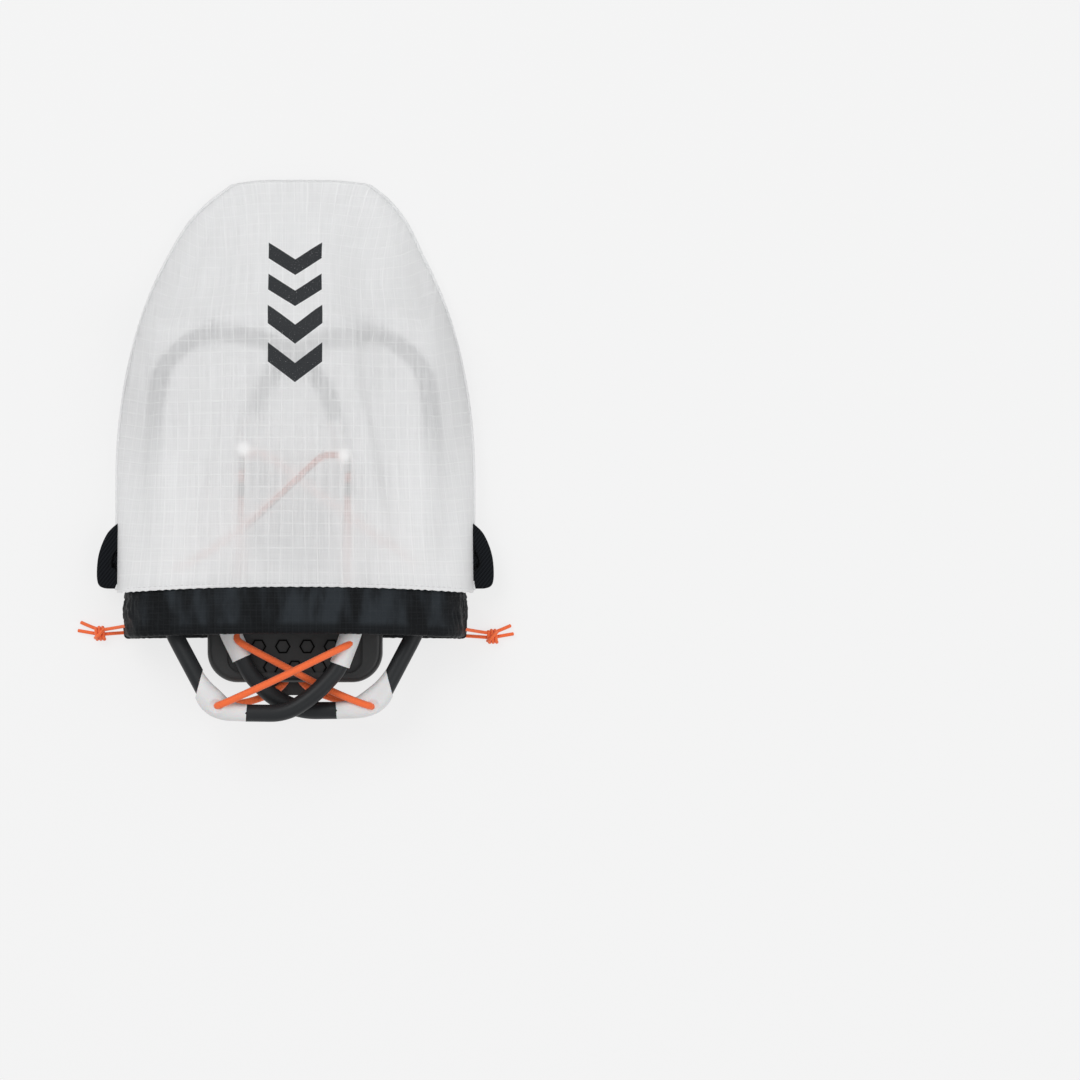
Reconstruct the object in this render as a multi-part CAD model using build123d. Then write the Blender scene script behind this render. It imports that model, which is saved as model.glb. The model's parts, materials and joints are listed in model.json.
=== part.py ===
from build123d import *
import os
from math import radians, sqrt, tan

# A folded head-lamp lying in its translucent drawstring pouch, with the mouth open.
# Millimetres. X runs across the pouch, Y towards its closed end and Z up from the table.

# Pouch
POUCH_HALF_WIDTH = 76.5
POUCH_END_Y = 116.0
SHOULDER_Y = -12.0          # the sides are straight below this and curve in above it
CURVE_LENGTH = 136.2        # semi-axis of the half ellipse that the sides follow
CLOTH_LOW_Y = -59.5         # where the cloth meets the hem
MOUTH_Y = -81.0
POUCH_HEIGHT = 46.0
SLOPE_START_Y = 48.0        # the roof falls from here to the closed end
END_HEIGHT = 4.0
SEAM_Z_MOUTH = 11.0         # height of the side seam at the mouth and at the closed end
SEAM_Z_END = 2.0
CLOTH = 0.8

# Hem
HEM_HALF_WIDTH = 74.8
HEM_HEIGHT = 45.4
HEM_THICK = 3.8

# Drawcords
CORD_D = 1.5
OUTER_LAY = 1.05            # depth of each cord's centre under the hem's outer face
INNER_LAY = 2.75

# Headband rings: a left one that lies over a right one
TUBE_D = 7.4
TUBE_BORE_D = 4.8
SLEEVE_D = 9.2
UPPER_Z = 32.8
LOWER_Z = 23.8
LACE_D = 3.1

# Battery case
CASE_HALF_WIDTH = 37.5
CASE_LOW_Y = -99.0
CASE_HIGH_Y = -57.0
CASE_BASE_Z = 4.5
CASE_PART_Z = 7.5           # parting face between base cover and case
CASE_TOP_Z = 18.8
CASE_WALL = 1.6
RIM_WIDTH = 8.5
RECESS_DEPTH = 2.0
HEX_R = 3.4
HEX_PITCH = 10.4
ANCHOR_HALF_WIDTH = 13.0
ANCHOR_LOW_Y = -104.6
ANCHOR_TOP_Z = 10.8

# Lamp
LAMP_HALF_WIDTH = 19.0
LAMP_LOW_Y = -52.0
LAMP_HIGH_Y = -8.0
LAMP_BASE_Z = 4.5
LAMP_TOP_Z = 19.0
LAMP_WALL = 1.6
LENS_THICK = 2.0
COVER_THICK = 2.0
TILT_Y = -11.0
TILT_Z = 11.5
TILT_PIN_D = 3.0
EAR_IN = 19.4               # inner and outer faces of the bracket's ears
EAR_OUT = 21.2
LACE_X = 22.9               # the two straight laces run past the bracket here

# Power button
BUTTON_HALF_WIDTH = 5.0
BUTTON_Z = 11.5
BUTTON_HEIGHT = 5.6
BUTTON_PROUD = 1.3

# Port flap
PORT_Y = -71.0
FLAP_PIN_X = -39.0
FLAP_PIN_Z = 8.7

FIT = 0.15                  # running clearance of the button and the plunger
PIN_FIT = 0.08              # running clearance of a pin in its bearing


def write(name, shape):
    export_step(shape, f"parts/{name}.step")


def rounded_path(points, share=0.45):
    """Straight runs joined by tangent arcs, each as large as its two runs allow."""
    corners = [Vector(*p) for p in points]
    radii = []
    for before, here, after in zip(corners, corners[1:], corners[2:]):
        run_in = here - before
        run_out = after - here
        half_turn = radians(run_in.get_angle(run_out)) / 2
        radii.append(share * min(run_in.length, run_out.length) / tan(half_turn))
    return FilletPolyline(*corners, radius=radii), radii


def tube(points, diameter, bore=0.0, label=None):
    path, radii = rounded_path(points) if len(points) > 2 else (Line(*points), [])
    section = Circle(diameter / 2)
    if bore:
        section -= Circle(bore / 2)
    if label:
        tightest = round(min(radii), 1)
        print(label, "length", round(path.length), "tightest radius", tightest)
    return sweep(Plane(origin=path @ 0, z_dir=path % 0) * section, path)


def block(x0, x1, y0, y1, z0, z1):
    middle = ((x0 + x1) / 2, (y0 + y1) / 2, (z0 + z1) / 2)
    return Pos(*middle) * Box(x1 - x0, y1 - y0, z1 - z0)


def rod(radius, length, place, axis):
    """A cylinder centred on place, along X, Y or Z."""
    turn = {"X": Rot(0, 90, 0), "Y": Rot(90, 0, 0), "Z": Rot(0, 0, 0)}[axis]
    return Pos(*place) * turn * Cylinder(radius, length)


def mirror_x(points):
    return [(-x, y, z) for x, y, z in points]


# ---------------------------------------------------------------- pouch

def half_width(y):
    if y <= SHOULDER_Y:
        return POUCH_HALF_WIDTH
    return POUCH_HALF_WIDTH * sqrt(1 - ((y - SHOULDER_Y) / CURVE_LENGTH) ** 2)


def roof(y):
    if y <= SLOPE_START_Y:
        return POUCH_HEIGHT
    t = (y - SLOPE_START_Y) / (POUCH_END_Y - SLOPE_START_Y)
    return END_HEIGHT + (POUCH_HEIGHT - END_HEIGHT) * (1 - t ** 1.7)


def seam_height(y):
    t = (y - CLOTH_LOW_Y) / (POUCH_END_Y - CLOTH_LOW_Y)
    return SEAM_Z_MOUTH + (SEAM_Z_END - SEAM_Z_MOUTH) * t


def roof_points(a, seam, top, y):
    """The upper half of a cross-section, from one side seam over to the other."""
    side = (-0.955 * a, y, seam + 0.58 * (top - seam))
    shoulder = (-0.58 * a, y, seam + 0.955 * (top - seam))
    left = [(-a, y, seam), side, shoulder]
    return left + [(0, y, top)] + mirror_x(left)[::-1]


def floor_points(a, seam, bottom, y):
    left = [(-a, y, seam), (-0.9 * a, y, bottom)]
    return left + mirror_x(left)[::-1]


def wall_section(outer, inner):
    """A thin cross-section between an outer and an inner line that end at the same height."""
    outer_line, _ = rounded_path(outer)
    inner_line, _ = rounded_path(inner)
    ends = [Line(outer[0], inner[0]), Line(outer[-1], inner[-1])]
    return make_face(outer_line.edges() + inner_line.edges() + ends[0].edges() + ends[1].edges())


def roof_section(y, a, seam, top, wall):
    return wall_section(roof_points(a, seam, top, y), roof_points(a - wall, seam, top - wall, y))


def floor_section(y, a, seam, wall):
    return wall_section(floor_points(a, seam, 0, y), floor_points(a - wall, seam, wall, y))


def pouch_panels():
    stations = [CLOTH_LOW_Y, SHOULDER_Y, 12, 32, SLOPE_START_Y, 62, 76, 89, 101, 110, POUCH_END_Y]
    roofs = []
    floors = []
    for y in stations:
        a = half_width(y)
        seam = seam_height(y)
        roofs.append(roof_section(y, a, seam, roof(y), CLOTH))
        floors.append(floor_section(y, a, seam - 0.05, CLOTH))
    a = half_width(POUCH_END_Y)
    end_line, _ = rounded_path(roof_points(a, SEAM_Z_END, END_HEIGHT, POUCH_END_Y))
    end_face = make_face(end_line.edges() + Line(end_line @ 0, end_line @ 1).edges())
    front = loft(roofs, ruled=True) + extrude(end_face, amount=CLOTH, dir=(0, -1, 0))
    end_line, _ = rounded_path(floor_points(a, SEAM_Z_END - 0.05, 0, POUCH_END_Y))
    end_face = make_face(end_line.edges() + Line(end_line @ 0, end_line @ 1).edges())
    back = loft(floors, ruled=True) + extrude(end_face, amount=CLOTH, dir=(0, -1, 0))
    write("pouch_front_panel", front)
    write("pouch_back_panel", back)


def drawcord_route(depth, far_depth, drop):
    """The left cord: from one tail through the knot, once round the hem and back to the knot."""
    a = HEM_HALF_WIDTH - depth
    top = HEM_HEIGHT - depth
    side, shoulder, middle = roof_points(a, SEAM_Z_MOUTH, top, 0)[1:4]
    near_y = -74.6 + drop
    far_y = -71.0
    return [
        (-92.6, -73.3 + drop, 0.95),
        (-88.0, -75.3 + drop, 1.7),
        (-84.0, -76.7 + drop, 3.0),
        (-79.0, -76.0 + drop, 5.6),
        (-73.3, near_y, 14.0),
        (side[0], near_y, side[2]),
        (shoulder[0], near_y, shoulder[2]),
        (middle[0], (near_y + far_y) / 2, middle[2]),
        (-shoulder[0], far_y, shoulder[2]),
        (-side[0], far_y, side[2]),
        (HEM_HALF_WIDTH - far_depth, far_y, SEAM_Z_MOUTH),
        (0.88 * a, far_y - 0.4, depth + 0.35),
        (22.0, -72.6, depth),
        (-22.0, -75.6 + drop / 2, depth),
        (-58.0, -77.2 + drop / 2, depth + 0.2),
        (-70.0, -77.6 + drop, 2.7),
        (-78.0, -78.1 + drop, 2.9),
        (-84.0, -78.6 + drop, 2.2),
        (-89.0, -77.7 + drop, 1.3),
        (-93.8, -76.9 + drop, 0.9),
    ]


def hem_and_cords():
    hem_length = CLOTH_LOW_Y - MOUTH_Y
    front = extrude(roof_section(CLOTH_LOW_Y, HEM_HALF_WIDTH, SEAM_Z_MOUTH, HEM_HEIGHT, HEM_THICK),
                    amount=hem_length, dir=(0, -1, 0))
    back = extrude(floor_section(CLOTH_LOW_Y, HEM_HALF_WIDTH, SEAM_Z_MOUTH, HEM_THICK),
                   amount=hem_length, dir=(0, -1, 0))
    right_drop = -1.4
    routes = {
        "left": drawcord_route(OUTER_LAY, 1.7, 0.0),
        "right": mirror_x(drawcord_route(INNER_LAY, 1.9, right_drop)),
    }
    for side, sign, drop in (("left", -1, 0.0), ("right", 1, right_drop)):
        cord = tube(routes[side], CORD_D, label=f"drawcord_{side}")
        channel = tube(routes[side], CORD_D + 0.04)
        knot = Pos(sign * 84.0, -77.65 + drop, 2.6) * knot_lump(7.2, 2.55)
        front -= channel
        back -= channel
        write(f"drawcord_{side}", cord)
        write(f"drawcord_{side}_knot", knot - channel)
        write(f"side_tab_{side}", side_tab(sign))
    write("hem_front", front)
    write("hem_back", back)


def knot_lump(length, radius):
    """A round-ended lump, longer along Y, that stands for a small overhand knot."""
    straight = length - 2 * radius
    lump = Rot(90, 0, 0) * Cylinder(radius, straight)
    for end in (-straight / 2, straight / 2):
        lump += Pos(0, end, 0) * Sphere(radius)
    return lump


def side_tab(sign):
    """A folded webbing tab sewn into the side seam."""
    root = POUCH_HALF_WIDTH + 0.05
    outline = [(root, -31), (79.5, -33.5), (85, -46), (85, -58.5), (root, -58.5)]
    face = make_face(Polyline(*[(sign * x, y) for x, y in outline], close=True))
    rounded = face.vertices().filter_by(lambda v: abs(v.X) > POUCH_HALF_WIDTH + 1)
    face = fillet(rounded, 2.4)
    return Pos(0, 0, 9.2) * extrude(face, amount=2.0)


# ---------------------------------------------------------------- headband

# Each ring runs from its upper corner over the arch, down its outer side to the elbow and
# across to its lower corner. The left ring sinks towards its outer side, inside the pouch.
LEFT_ARCH = [
    (20.4, 2.2, UPPER_Z),
    (13.5, 29.0, UPPER_Z),
    (-6.0, 47.0, UPPER_Z),
    (-38.0, 51.5, 30.5),
    (-56.5, 37.5, 26.8),
    (-60.0, 5.0, 25.5),
    (-58.8, -64.6, 25.5),
]
LEFT_ELBOW = (-33.4, -111.75, UPPER_Z)
LEFT_CROSS = [
    (-20.8, -111.9, UPPER_Z),
    (-3.5, -112.1, UPPER_Z),
    (9.0, -103.9, UPPER_Z),
    (18.8, -93.2, UPPER_Z),
    (21.9, -84.5, UPPER_Z),
]
LEFT_LACE = [
    (-54.5, -51.8, 27.2),
    (-48.6, -46.8, 29.6),
    (-25.4, -29.5, 34.0),
    (-2.6, -12.5, 36.4),
    (11.5, -1.8, 37.6),
    (19.6, -2.0, 37.0),
    (22.9, -4.0, 34.2),
    (22.9, -9.5, 32.8),
    (22.5, -40.0, 32.6),
    (22.9, -72.0, 32.8),
    (23.8, -76.6, 33.8),
    (23.8, -80.2, 37.4),
    (19.0, -84.4, 39.0),
    (-5.5, -96.6, 38.2),
    (-27.6, -106.7, 38.0),
    (-32.4, -108.7, 37.0),
    (-33.8, -109.1, 32.5),
    (-33.1, -108.9, 26.8),
    (-28.6, -108.4, 23.4),
    (-20.5, -107.6, 18.4),
    (-12.0, -104.8, 15.4),
    (-5.2, -100.6, 12.8),
    (-3.6, -97.6, 12.2),
]
RIGHT_ARCH = [
    (-20.8, 3.4, LOWER_Z),
    (-13.5, 30.0, LOWER_Z),
    (6.0, 47.0, LOWER_Z),
    (38.0, 50.5, LOWER_Z),
    (55.5, 36.5, LOWER_Z),
    (59.0, 4.0, LOWER_Z),
    (58.1, -65.4, LOWER_Z),
]
RIGHT_ELBOW = (34.2, -110.75, LOWER_Z)
RIGHT_CROSS = [
    (18.2, -110.9, LOWER_Z),
    (3.0, -111.05, LOWER_Z),
    (-9.5, -105.4, LOWER_Z),
    (-19.5, -95.0, LOWER_Z),
    (-23.9, -85.5, LOWER_Z),
]
RIGHT_LACE = [
    (55.0, -51.8, 24.4),
    (48.5, -46.5, 27.0),
    (25.4, -29.5, 28.2),
    (2.6, -12.5, 28.4),
    (-11.6, -0.9, 28.8),
    (-19.6, -0.8, 28.0),
    (-22.9, -2.6, 25.2),
    (-22.9, -8.5, 23.8),
    (-22.5, -40.0, 23.6),
    (-22.9, -69.0, 23.8),
    (-25.0, -74.0, 24.6),
    (-26.2, -78.0, 28.4),
    (-22.8, -82.2, 30.0),
    (-4.5, -92.0, 26.4),
    (13.8, -101.8, 25.6),
    (27.8, -107.6, 28.9),
    (32.4, -109.0, 28.2),
    (33.8, -109.5, 23.6),
    (33.0, -109.3, 18.2),
    (28.2, -108.6, 16.0),
    (20.5, -107.2, 14.2),
    (11.0, -104.2, 13.2),
    (3.9, -100.6, 12.6),
    (2.2, -97.6, 12.2),
]
ARCH_CUT = [(32.8, -70.0), (47.5, -125.0)]  # the arch tubes are cut off along this steep line


def along(start, end, distance):
    """The point that lies this far from start towards end."""
    a = Vector(*start)
    direction = (Vector(*end) - a).normalized()
    return tuple(a + direction * distance)


def mirror_cut(points):
    """The same cut line on the other side, from its far end back."""
    return [(-x, y) for x, y in points[::-1]]


def headband_ring(side, arch, bend, cross, lace_route, boss_xy, sleeve_reach):
    lace = tube(lace_route, LACE_D, label=f"lace_{side}")
    hole = tube(lace_route, LACE_D + 0.1)
    elbow = [along(bend, arch[-1], 25), bend, cross[0]]
    arch = arch + [along(bend, arch[-1], 9)]
    arch_solid = tube(arch, TUBE_D)
    cut_face = make_face(Polyline(*ARCH_CUT, *mirror_cut(ARCH_CUT), close=True))
    beyond = extrude(cut_face, amount=60, dir=(0, 0, 1))
    write(f"arch_tube_{side}", tube(arch, TUBE_D, TUBE_BORE_D) - beyond)
    write(f"cross_tube_{side}", tube(cross, TUBE_D, TUBE_BORE_D))

    leg = tube(elbow, TUBE_D) & beyond
    boss = Pos(boss_xy[0], boss_xy[1], bend[2]) * Cylinder(6.4, 8.6)
    boss = fillet(boss.edges().filter_by(GeomType.CIRCLE), 2.0)
    spigot_up = tube([elbow[0], along(elbow[0], elbow[1], 12)], TUBE_BORE_D - 0.2)
    spigot_across = tube([along(cross[0], bend, 2), along(cross[0], bend, -6)],
                         TUBE_BORE_D - 0.2)
    outer_tube = arch_solid - beyond
    elbow_solid = leg + (boss - outer_tube) + spigot_up + spigot_across - hole
    write(f"elbow_{side}", keep_largest(elbow_solid))

    # Upper corner: a closed sleeve over the arch tube's first stretch
    closed_end = along(arch[0], arch[1], -8)
    sleeve = tube([closed_end, along(arch[0], arch[1], 12)], SLEEVE_D)
    cap = Pos(*closed_end) * Sphere(SLEEVE_D / 2)
    write(f"upper_corner_{side}", keep_largest(sleeve + cap - arch_solid - hole))

    # Lower corner: the same kind of sleeve over the cross tube's end
    tip, before = cross[-1], cross[-2]
    closed_end = along(tip, before, -10.5)
    sleeve = tube([closed_end, along(tip, before, sleeve_reach)], SLEEVE_D)
    cap = Pos(*closed_end) * Sphere(SLEEVE_D / 2)
    cross_solid = tube(cross, TUBE_D)
    write(f"lower_corner_{side}", keep_largest(sleeve + cap - cross_solid - hole))

    # Side eyelet: a sleeve on the straight outer side with a lug for the lace's end
    x_mid = arch[5][0] + (arch[6][0] - arch[5][0]) * 0.81
    y_mid = -52.0
    z_mid = arch[5][2]
    sleeve = rod(SLEEVE_D / 2, 12, (x_mid, y_mid, z_mid), "Y")
    lug = rod(3.4, 7.0, (lace_route[0][0], lace_route[0][1], z_mid + 0.6), "Z")
    write(f"side_eyelet_{side}", keep_largest(sleeve + lug - arch_solid - hole))
    write(f"lace_{side}", lace)
    return hole


def keep_largest(shape):
    """The one real piece, without crumbs that a cut leaves."""
    return max(shape.solids(), key=lambda s: s.volume)


def lace_lock():
    """A barrel lock on the lower straight lace, with its push-down plunger left out here."""
    place = (-LACE_X + 0.05, -61.0)
    barrel = Pos(*place, 24.2) * Cylinder(5.2, 10.4)
    bore = Pos(*place, 25.3) * Cylinder(3.9, 10.4)
    lace_way = rod(1.75, 30, (place[0], place[1], LOWER_Z), "Y")
    write("lace_lock_barrel", barrel - bore - lace_way)
    plunger = Pos(*place, 27.3) * Cylinder(3.9 - FIT, 9.4)
    plunger = fillet(plunger.edges().group_by(Axis.Z)[-1], 0.8)
    slot = block(place[0] - 1.8, place[0] + 1.8, place[1] - 6, place[1] + 6, 22.0, 28.0)
    plunger -= slot
    write("lace_lock_plunger", keep_largest(plunger))


# ---------------------------------------------------------------- battery case

def case_outline():
    face = Pos(0, (CASE_LOW_Y + CASE_HIGH_Y) / 2) * Rectangle(2 * CASE_HALF_WIDTH,
                                                            CASE_HIGH_Y - CASE_LOW_Y)
    face = fillet(face.vertices().group_by(Axis.Y)[0], 13.0)
    return fillet(face.vertices().group_by(Axis.Y)[-1], 5.0)


def hexagon_field(floor_z):
    """Raised hexagon rims in staggered rows on the recessed panel."""
    ring = extrude(RegularPolygon(HEX_R, 6) - RegularPolygon(HEX_R - 0.75, 6), amount=0.65)
    fields = []
    for row, y in enumerate((-83.6, -74.6, -65.6, -92.6)):
        start = 0.5 if row % 2 == 0 else 0.0
        count = (-2, -1, 0, 1) if start else (-2, -1, 0, 1, 2)
        if y < -90:
            count = (-1, 0, 1)
        for step in count:
            fields.append(Pos((step + start) * HEX_PITCH, y, floor_z - 0.05) * ring)
    return fields


def lace_anchor():
    """A lip on the case's lower edge, which the two laces lie on before they enter the case."""
    lip = block(-ANCHOR_HALF_WIDTH, ANCHOR_HALF_WIDTH, ANCHOR_LOW_Y, CASE_LOW_Y + 0.8,
                CASE_PART_Z, ANCHOR_TOP_Z)
    return fillet(lip.edges().filter_by(Axis.Z).group_by(Axis.Y)[0], 3.0)


def battery_case(lace_holes):
    outline = case_outline()
    shell = Pos(0, 0, CASE_PART_Z) * extrude(outline, amount=CASE_TOP_Z - CASE_PART_Z)
    shell = fillet(shell.edges().group_by(Axis.Z)[-1], 2.6)
    recess_x = CASE_HALF_WIDTH - RIM_WIDTH
    recess_z = CASE_TOP_Z - RECESS_DEPTH
    recess = Pos(0, (CASE_LOW_Y + CASE_HIGH_Y) / 2 + 1, recess_z) * extrude(
        fillet(Rectangle(2 * recess_x, CASE_HIGH_Y - CASE_LOW_Y - 6).vertices(), 6.0), amount=5)
    cavity_roof = recess_z - CASE_WALL
    cavity = Pos(0, 0, CASE_PART_Z - 0.01) * extrude(offset(outline, -CASE_WALL),
                                                   amount=cavity_roof - CASE_PART_Z)
    port = block(-CASE_HALF_WIDTH - 1, -CASE_HALF_WIDTH + 3, PORT_Y - 5.6, PORT_Y + 5.6, 9.2, 14.2)
    shell = shell - recess - cavity - port
    shell += lace_anchor()
    for hole in lace_holes:
        shell -= hole
    for y in (PORT_Y - 7.4, PORT_Y + 7.4):
        ear = block(FLAP_PIN_X - 1.2, -CASE_HALF_WIDTH + 0.5, y - 0.9, y + 0.9,
                    FLAP_PIN_Z - 1.1, FLAP_PIN_Z + 1.1)
        shell += ear - rod(0.6, 4, (FLAP_PIN_X, y, FLAP_PIN_Z), "Y")
    posts = [(x, y) for x in (-30, 30) for y in (-86, -63)]
    for x, y in posts:
        shell += rod(3.0, cavity_roof - CASE_PART_Z + 0.4,
                     (x, y, (cavity_roof + CASE_PART_Z) / 2 + 0.2), "Z")
        shell -= rod(0.95, 5.0, (x, y, CASE_PART_Z + 2.5), "Z")
    for hexagon in hexagon_field(recess_z):
        shell += hexagon
    write("battery_case", shell)

    cover = Pos(0, 0, CASE_BASE_Z) * extrude(outline, amount=CASE_PART_Z - CASE_BASE_Z)
    cover = chamfer(cover.edges().group_by(Axis.Z)[0], 1.0)
    tray = Pos(0, 0, CASE_BASE_Z + CASE_WALL) * extrude(offset(outline, -2.2), amount=5)
    cover -= tray
    for x, y in posts:
        cover += rod(3.0, CASE_PART_Z - CASE_BASE_Z - 0.6, (x, y, CASE_PART_Z - 1.2), "Z")
        cover -= rod(1.2, 10, (x, y, CASE_BASE_Z), "Z")
        cover -= rod(2.1, 3.2, (x, y, CASE_BASE_Z), "Z")
    write("battery_cover", cover)
    screws = [screw((x, y, CASE_BASE_Z + 0.3), 2.0, 0.9, 6.5, 1.2) for x, y in posts]
    write("battery_screws", Compound(children=screws))
    cell = block(-22, 22, -94, -63, 8.4, 14.4)
    write("battery_cell", fillet(cell.edges().filter_by(Axis.Y), 2.4))
    board = block(-33, 26.5, -92, -60.5, 6.4, 7.4)
    for x, y in posts:
        board -= rod(3.3, 10, (x, y, 7), "Z")
    write("charge_board", keep_largest(board))
    socket = block(-35.4, -27.8, PORT_Y - 4.5, PORT_Y + 4.5, 10.0, 13.3)
    socket = fillet(socket.edges().filter_by(Axis.X), 1.4)
    mouth = fillet(block(-36, -29, PORT_Y - 4.1, PORT_Y + 4.1, 10.4, 12.9)
                   .edges().filter_by(Axis.X), 1.1)
    foot = block(-33.0, -28.2, PORT_Y - 3.4, PORT_Y + 3.4, 7.4, 10.2)
    write("usb_socket", socket + foot - mouth)


def screw(place, head_r, shank_r, length, head):
    """A pan-head screw pointing up, with a cross slot in its head."""
    x, y, z = place
    body = rod(head_r, head, (x, y, z + head / 2), "Z")
    body += rod(shank_r, length, (x, y, z + head + length / 2 - 0.05), "Z")
    slot_a = block(x - head_r * 0.6, x + head_r * 0.6, y - 0.2, y + 0.2, z - 0.1, z + 0.45)
    slot_b = block(x - 0.2, x + 0.2, y - head_r * 0.6, y + head_r * 0.6, z - 0.1, z + 0.45)
    return body - slot_a - slot_b


def port_flap():
    """A soft flap hinged along its lower edge, with a plug that fills the port."""
    leaf = block(FLAP_PIN_X - 0.9, -CASE_HALF_WIDTH - 0.25, PORT_Y - 6.2, PORT_Y + 6.2,
                 FLAP_PIN_Z, 15.8)
    leaf = fillet(leaf.edges().filter_by(Axis.X).group_by(Axis.Z)[-1], 2.2)
    barrel = rod(1.15, 12.4, (FLAP_PIN_X, PORT_Y, FLAP_PIN_Z), "Y")
    plug = block(-CASE_HALF_WIDTH - 0.4, -CASE_HALF_WIDTH + 1.3, PORT_Y - 5.0, PORT_Y + 5.0,
                 9.9, 13.2)
    lip = block(FLAP_PIN_X - 1.5, FLAP_PIN_X - 0.8, PORT_Y - 2.5, PORT_Y + 2.5, 14.2, 15.4)
    bore = rod(0.6 + PIN_FIT, 20, (FLAP_PIN_X, PORT_Y, FLAP_PIN_Z), "Y")
    write("port_flap", leaf + barrel + plug + lip - bore)
    write("port_flap_pin", rod(0.6, 16.6, (FLAP_PIN_X, PORT_Y, FLAP_PIN_Z), "Y"))


# ---------------------------------------------------------------- lamp

def lamp_block(grow, z0, z1, radius):
    face = Pos(0, (LAMP_LOW_Y + LAMP_HIGH_Y) / 2) * Rectangle(
        2 * (LAMP_HALF_WIDTH + grow), LAMP_HIGH_Y - LAMP_LOW_Y + 2 * grow)
    return Pos(0, 0, z0) * extrude(fillet(face.vertices(), radius), amount=z1 - z0)


def lamp():
    body = lamp_block(0, LAMP_BASE_Z, LAMP_TOP_Z - COVER_THICK, 6.0)
    body = fillet(body.edges().group_by(Axis.Z)[0], 2.2)
    inside = lamp_block(-LAMP_WALL, LAMP_BASE_Z + LENS_THICK, LAMP_TOP_Z, 4.6)
    lens_seat = Pos(0, -32, LAMP_BASE_Z - 1) * extrude(
        fillet(Rectangle(30, 30).vertices(), 7), amount=6)
    window = block(-BUTTON_HALF_WIDTH - FIT, BUTTON_HALF_WIDTH + FIT, LAMP_LOW_Y - 1,
                   LAMP_LOW_Y + 3, BUTTON_Z - BUTTON_HEIGHT / 2 - FIT,
                   BUTTON_Z + BUTTON_HEIGHT / 2 + FIT)
    bearings = rod(TILT_PIN_D / 2 + PIN_FIT, 60, (0, TILT_Y, TILT_Z), "X")
    collars = [rod(3.0, 3.0, (s * (LAMP_HALF_WIDTH - 2.6), TILT_Y, TILT_Z), "X") for s in (-1, 1)]
    body = body - inside - lens_seat - window + collars[0] + collars[1] - bearings
    write("lamp_housing", body)

    cover = lamp_block(0, LAMP_TOP_Z - COVER_THICK, LAMP_TOP_Z, 6.0)
    cover = fillet(cover.edges().group_by(Axis.Z)[-1], 1.6)
    ribs = [block(-11, 11, y - 0.7, y + 0.7, LAMP_TOP_Z - 0.8, LAMP_TOP_Z + 1)
            for y in (-40, -36, -32, -28, -24)]
    screw_places = [(-14.6, -47.0), (14.6, -47.0)]
    for rib in ribs:
        cover -= rib
    for x, y in screw_places:
        cover -= rod(1.15, 10, (x, y, LAMP_TOP_Z), "Z")
        cover -= rod(2.05, 2.0, (x, y, LAMP_TOP_Z), "Z")
    write("lamp_cover", cover)
    screws = []
    for x, y in screw_places:
        turned = Pos(x, y, LAMP_TOP_Z) * Rot(180, 0, 0) * screw((0, 0, 0.05), 1.9, 0.85, 4.0, 0.9)
        screws.append(turned)
    write("lamp_screws", Compound(children=screws))

    lens = Pos(0, -32, LAMP_BASE_Z + 0.1) * extrude(
        fillet(Rectangle(29.8, 29.8).vertices(), 6.9), amount=LENS_THICK - 0.2)
    write("lamp_lens", lens)
    rim_z = LAMP_BASE_Z + LENS_THICK
    cup = Pos(0, -32, rim_z) * Cylinder(13.4, 6.0, align=(Align.CENTER, Align.CENTER, Align.MIN))
    bowl = Pos(0, -32, rim_z - 0.01) * Cone(12.6, 3.4, 6.1,
                                          align=(Align.CENTER, Align.CENTER, Align.MIN))
    write("lamp_reflector", cup - bowl)
    write("led_board", block(-15.5, 15.5, -47, -16, rim_z + 6.0, rim_z + 7.0))
    leds = [block(x - 1.2, x + 1.2, y - 1.2, y + 1.2, rim_z + 5.0, rim_z + 6.0)
            for x, y in ((-1.6, -32), (1.6, -32))]
    write("led_chips", Compound(children=leds))
    write("button_switch", block(-2.2, 2.2, -48.4, -46.9, BUTTON_Z - 1.6, BUTTON_Z + 1.0))

    cap = block(-BUTTON_HALF_WIDTH, BUTTON_HALF_WIDTH, LAMP_LOW_Y - BUTTON_PROUD,
                LAMP_LOW_Y + LAMP_WALL + 0.2, BUTTON_Z - BUTTON_HEIGHT / 2,
                BUTTON_Z + BUTTON_HEIGHT / 2)
    cap = fillet(cap.edges().group_by(Axis.Y)[0], 0.8)
    flange = block(-BUTTON_HALF_WIDTH - 0.9, BUTTON_HALF_WIDTH + 0.9, LAMP_LOW_Y + LAMP_WALL + 0.1,
                   LAMP_LOW_Y + LAMP_WALL + 0.9, BUTTON_Z - BUTTON_HEIGHT / 2 - 0.6,
                   BUTTON_Z + BUTTON_HEIGHT / 2 + 0.6)
    write("power_button", cap + flange)


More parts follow.
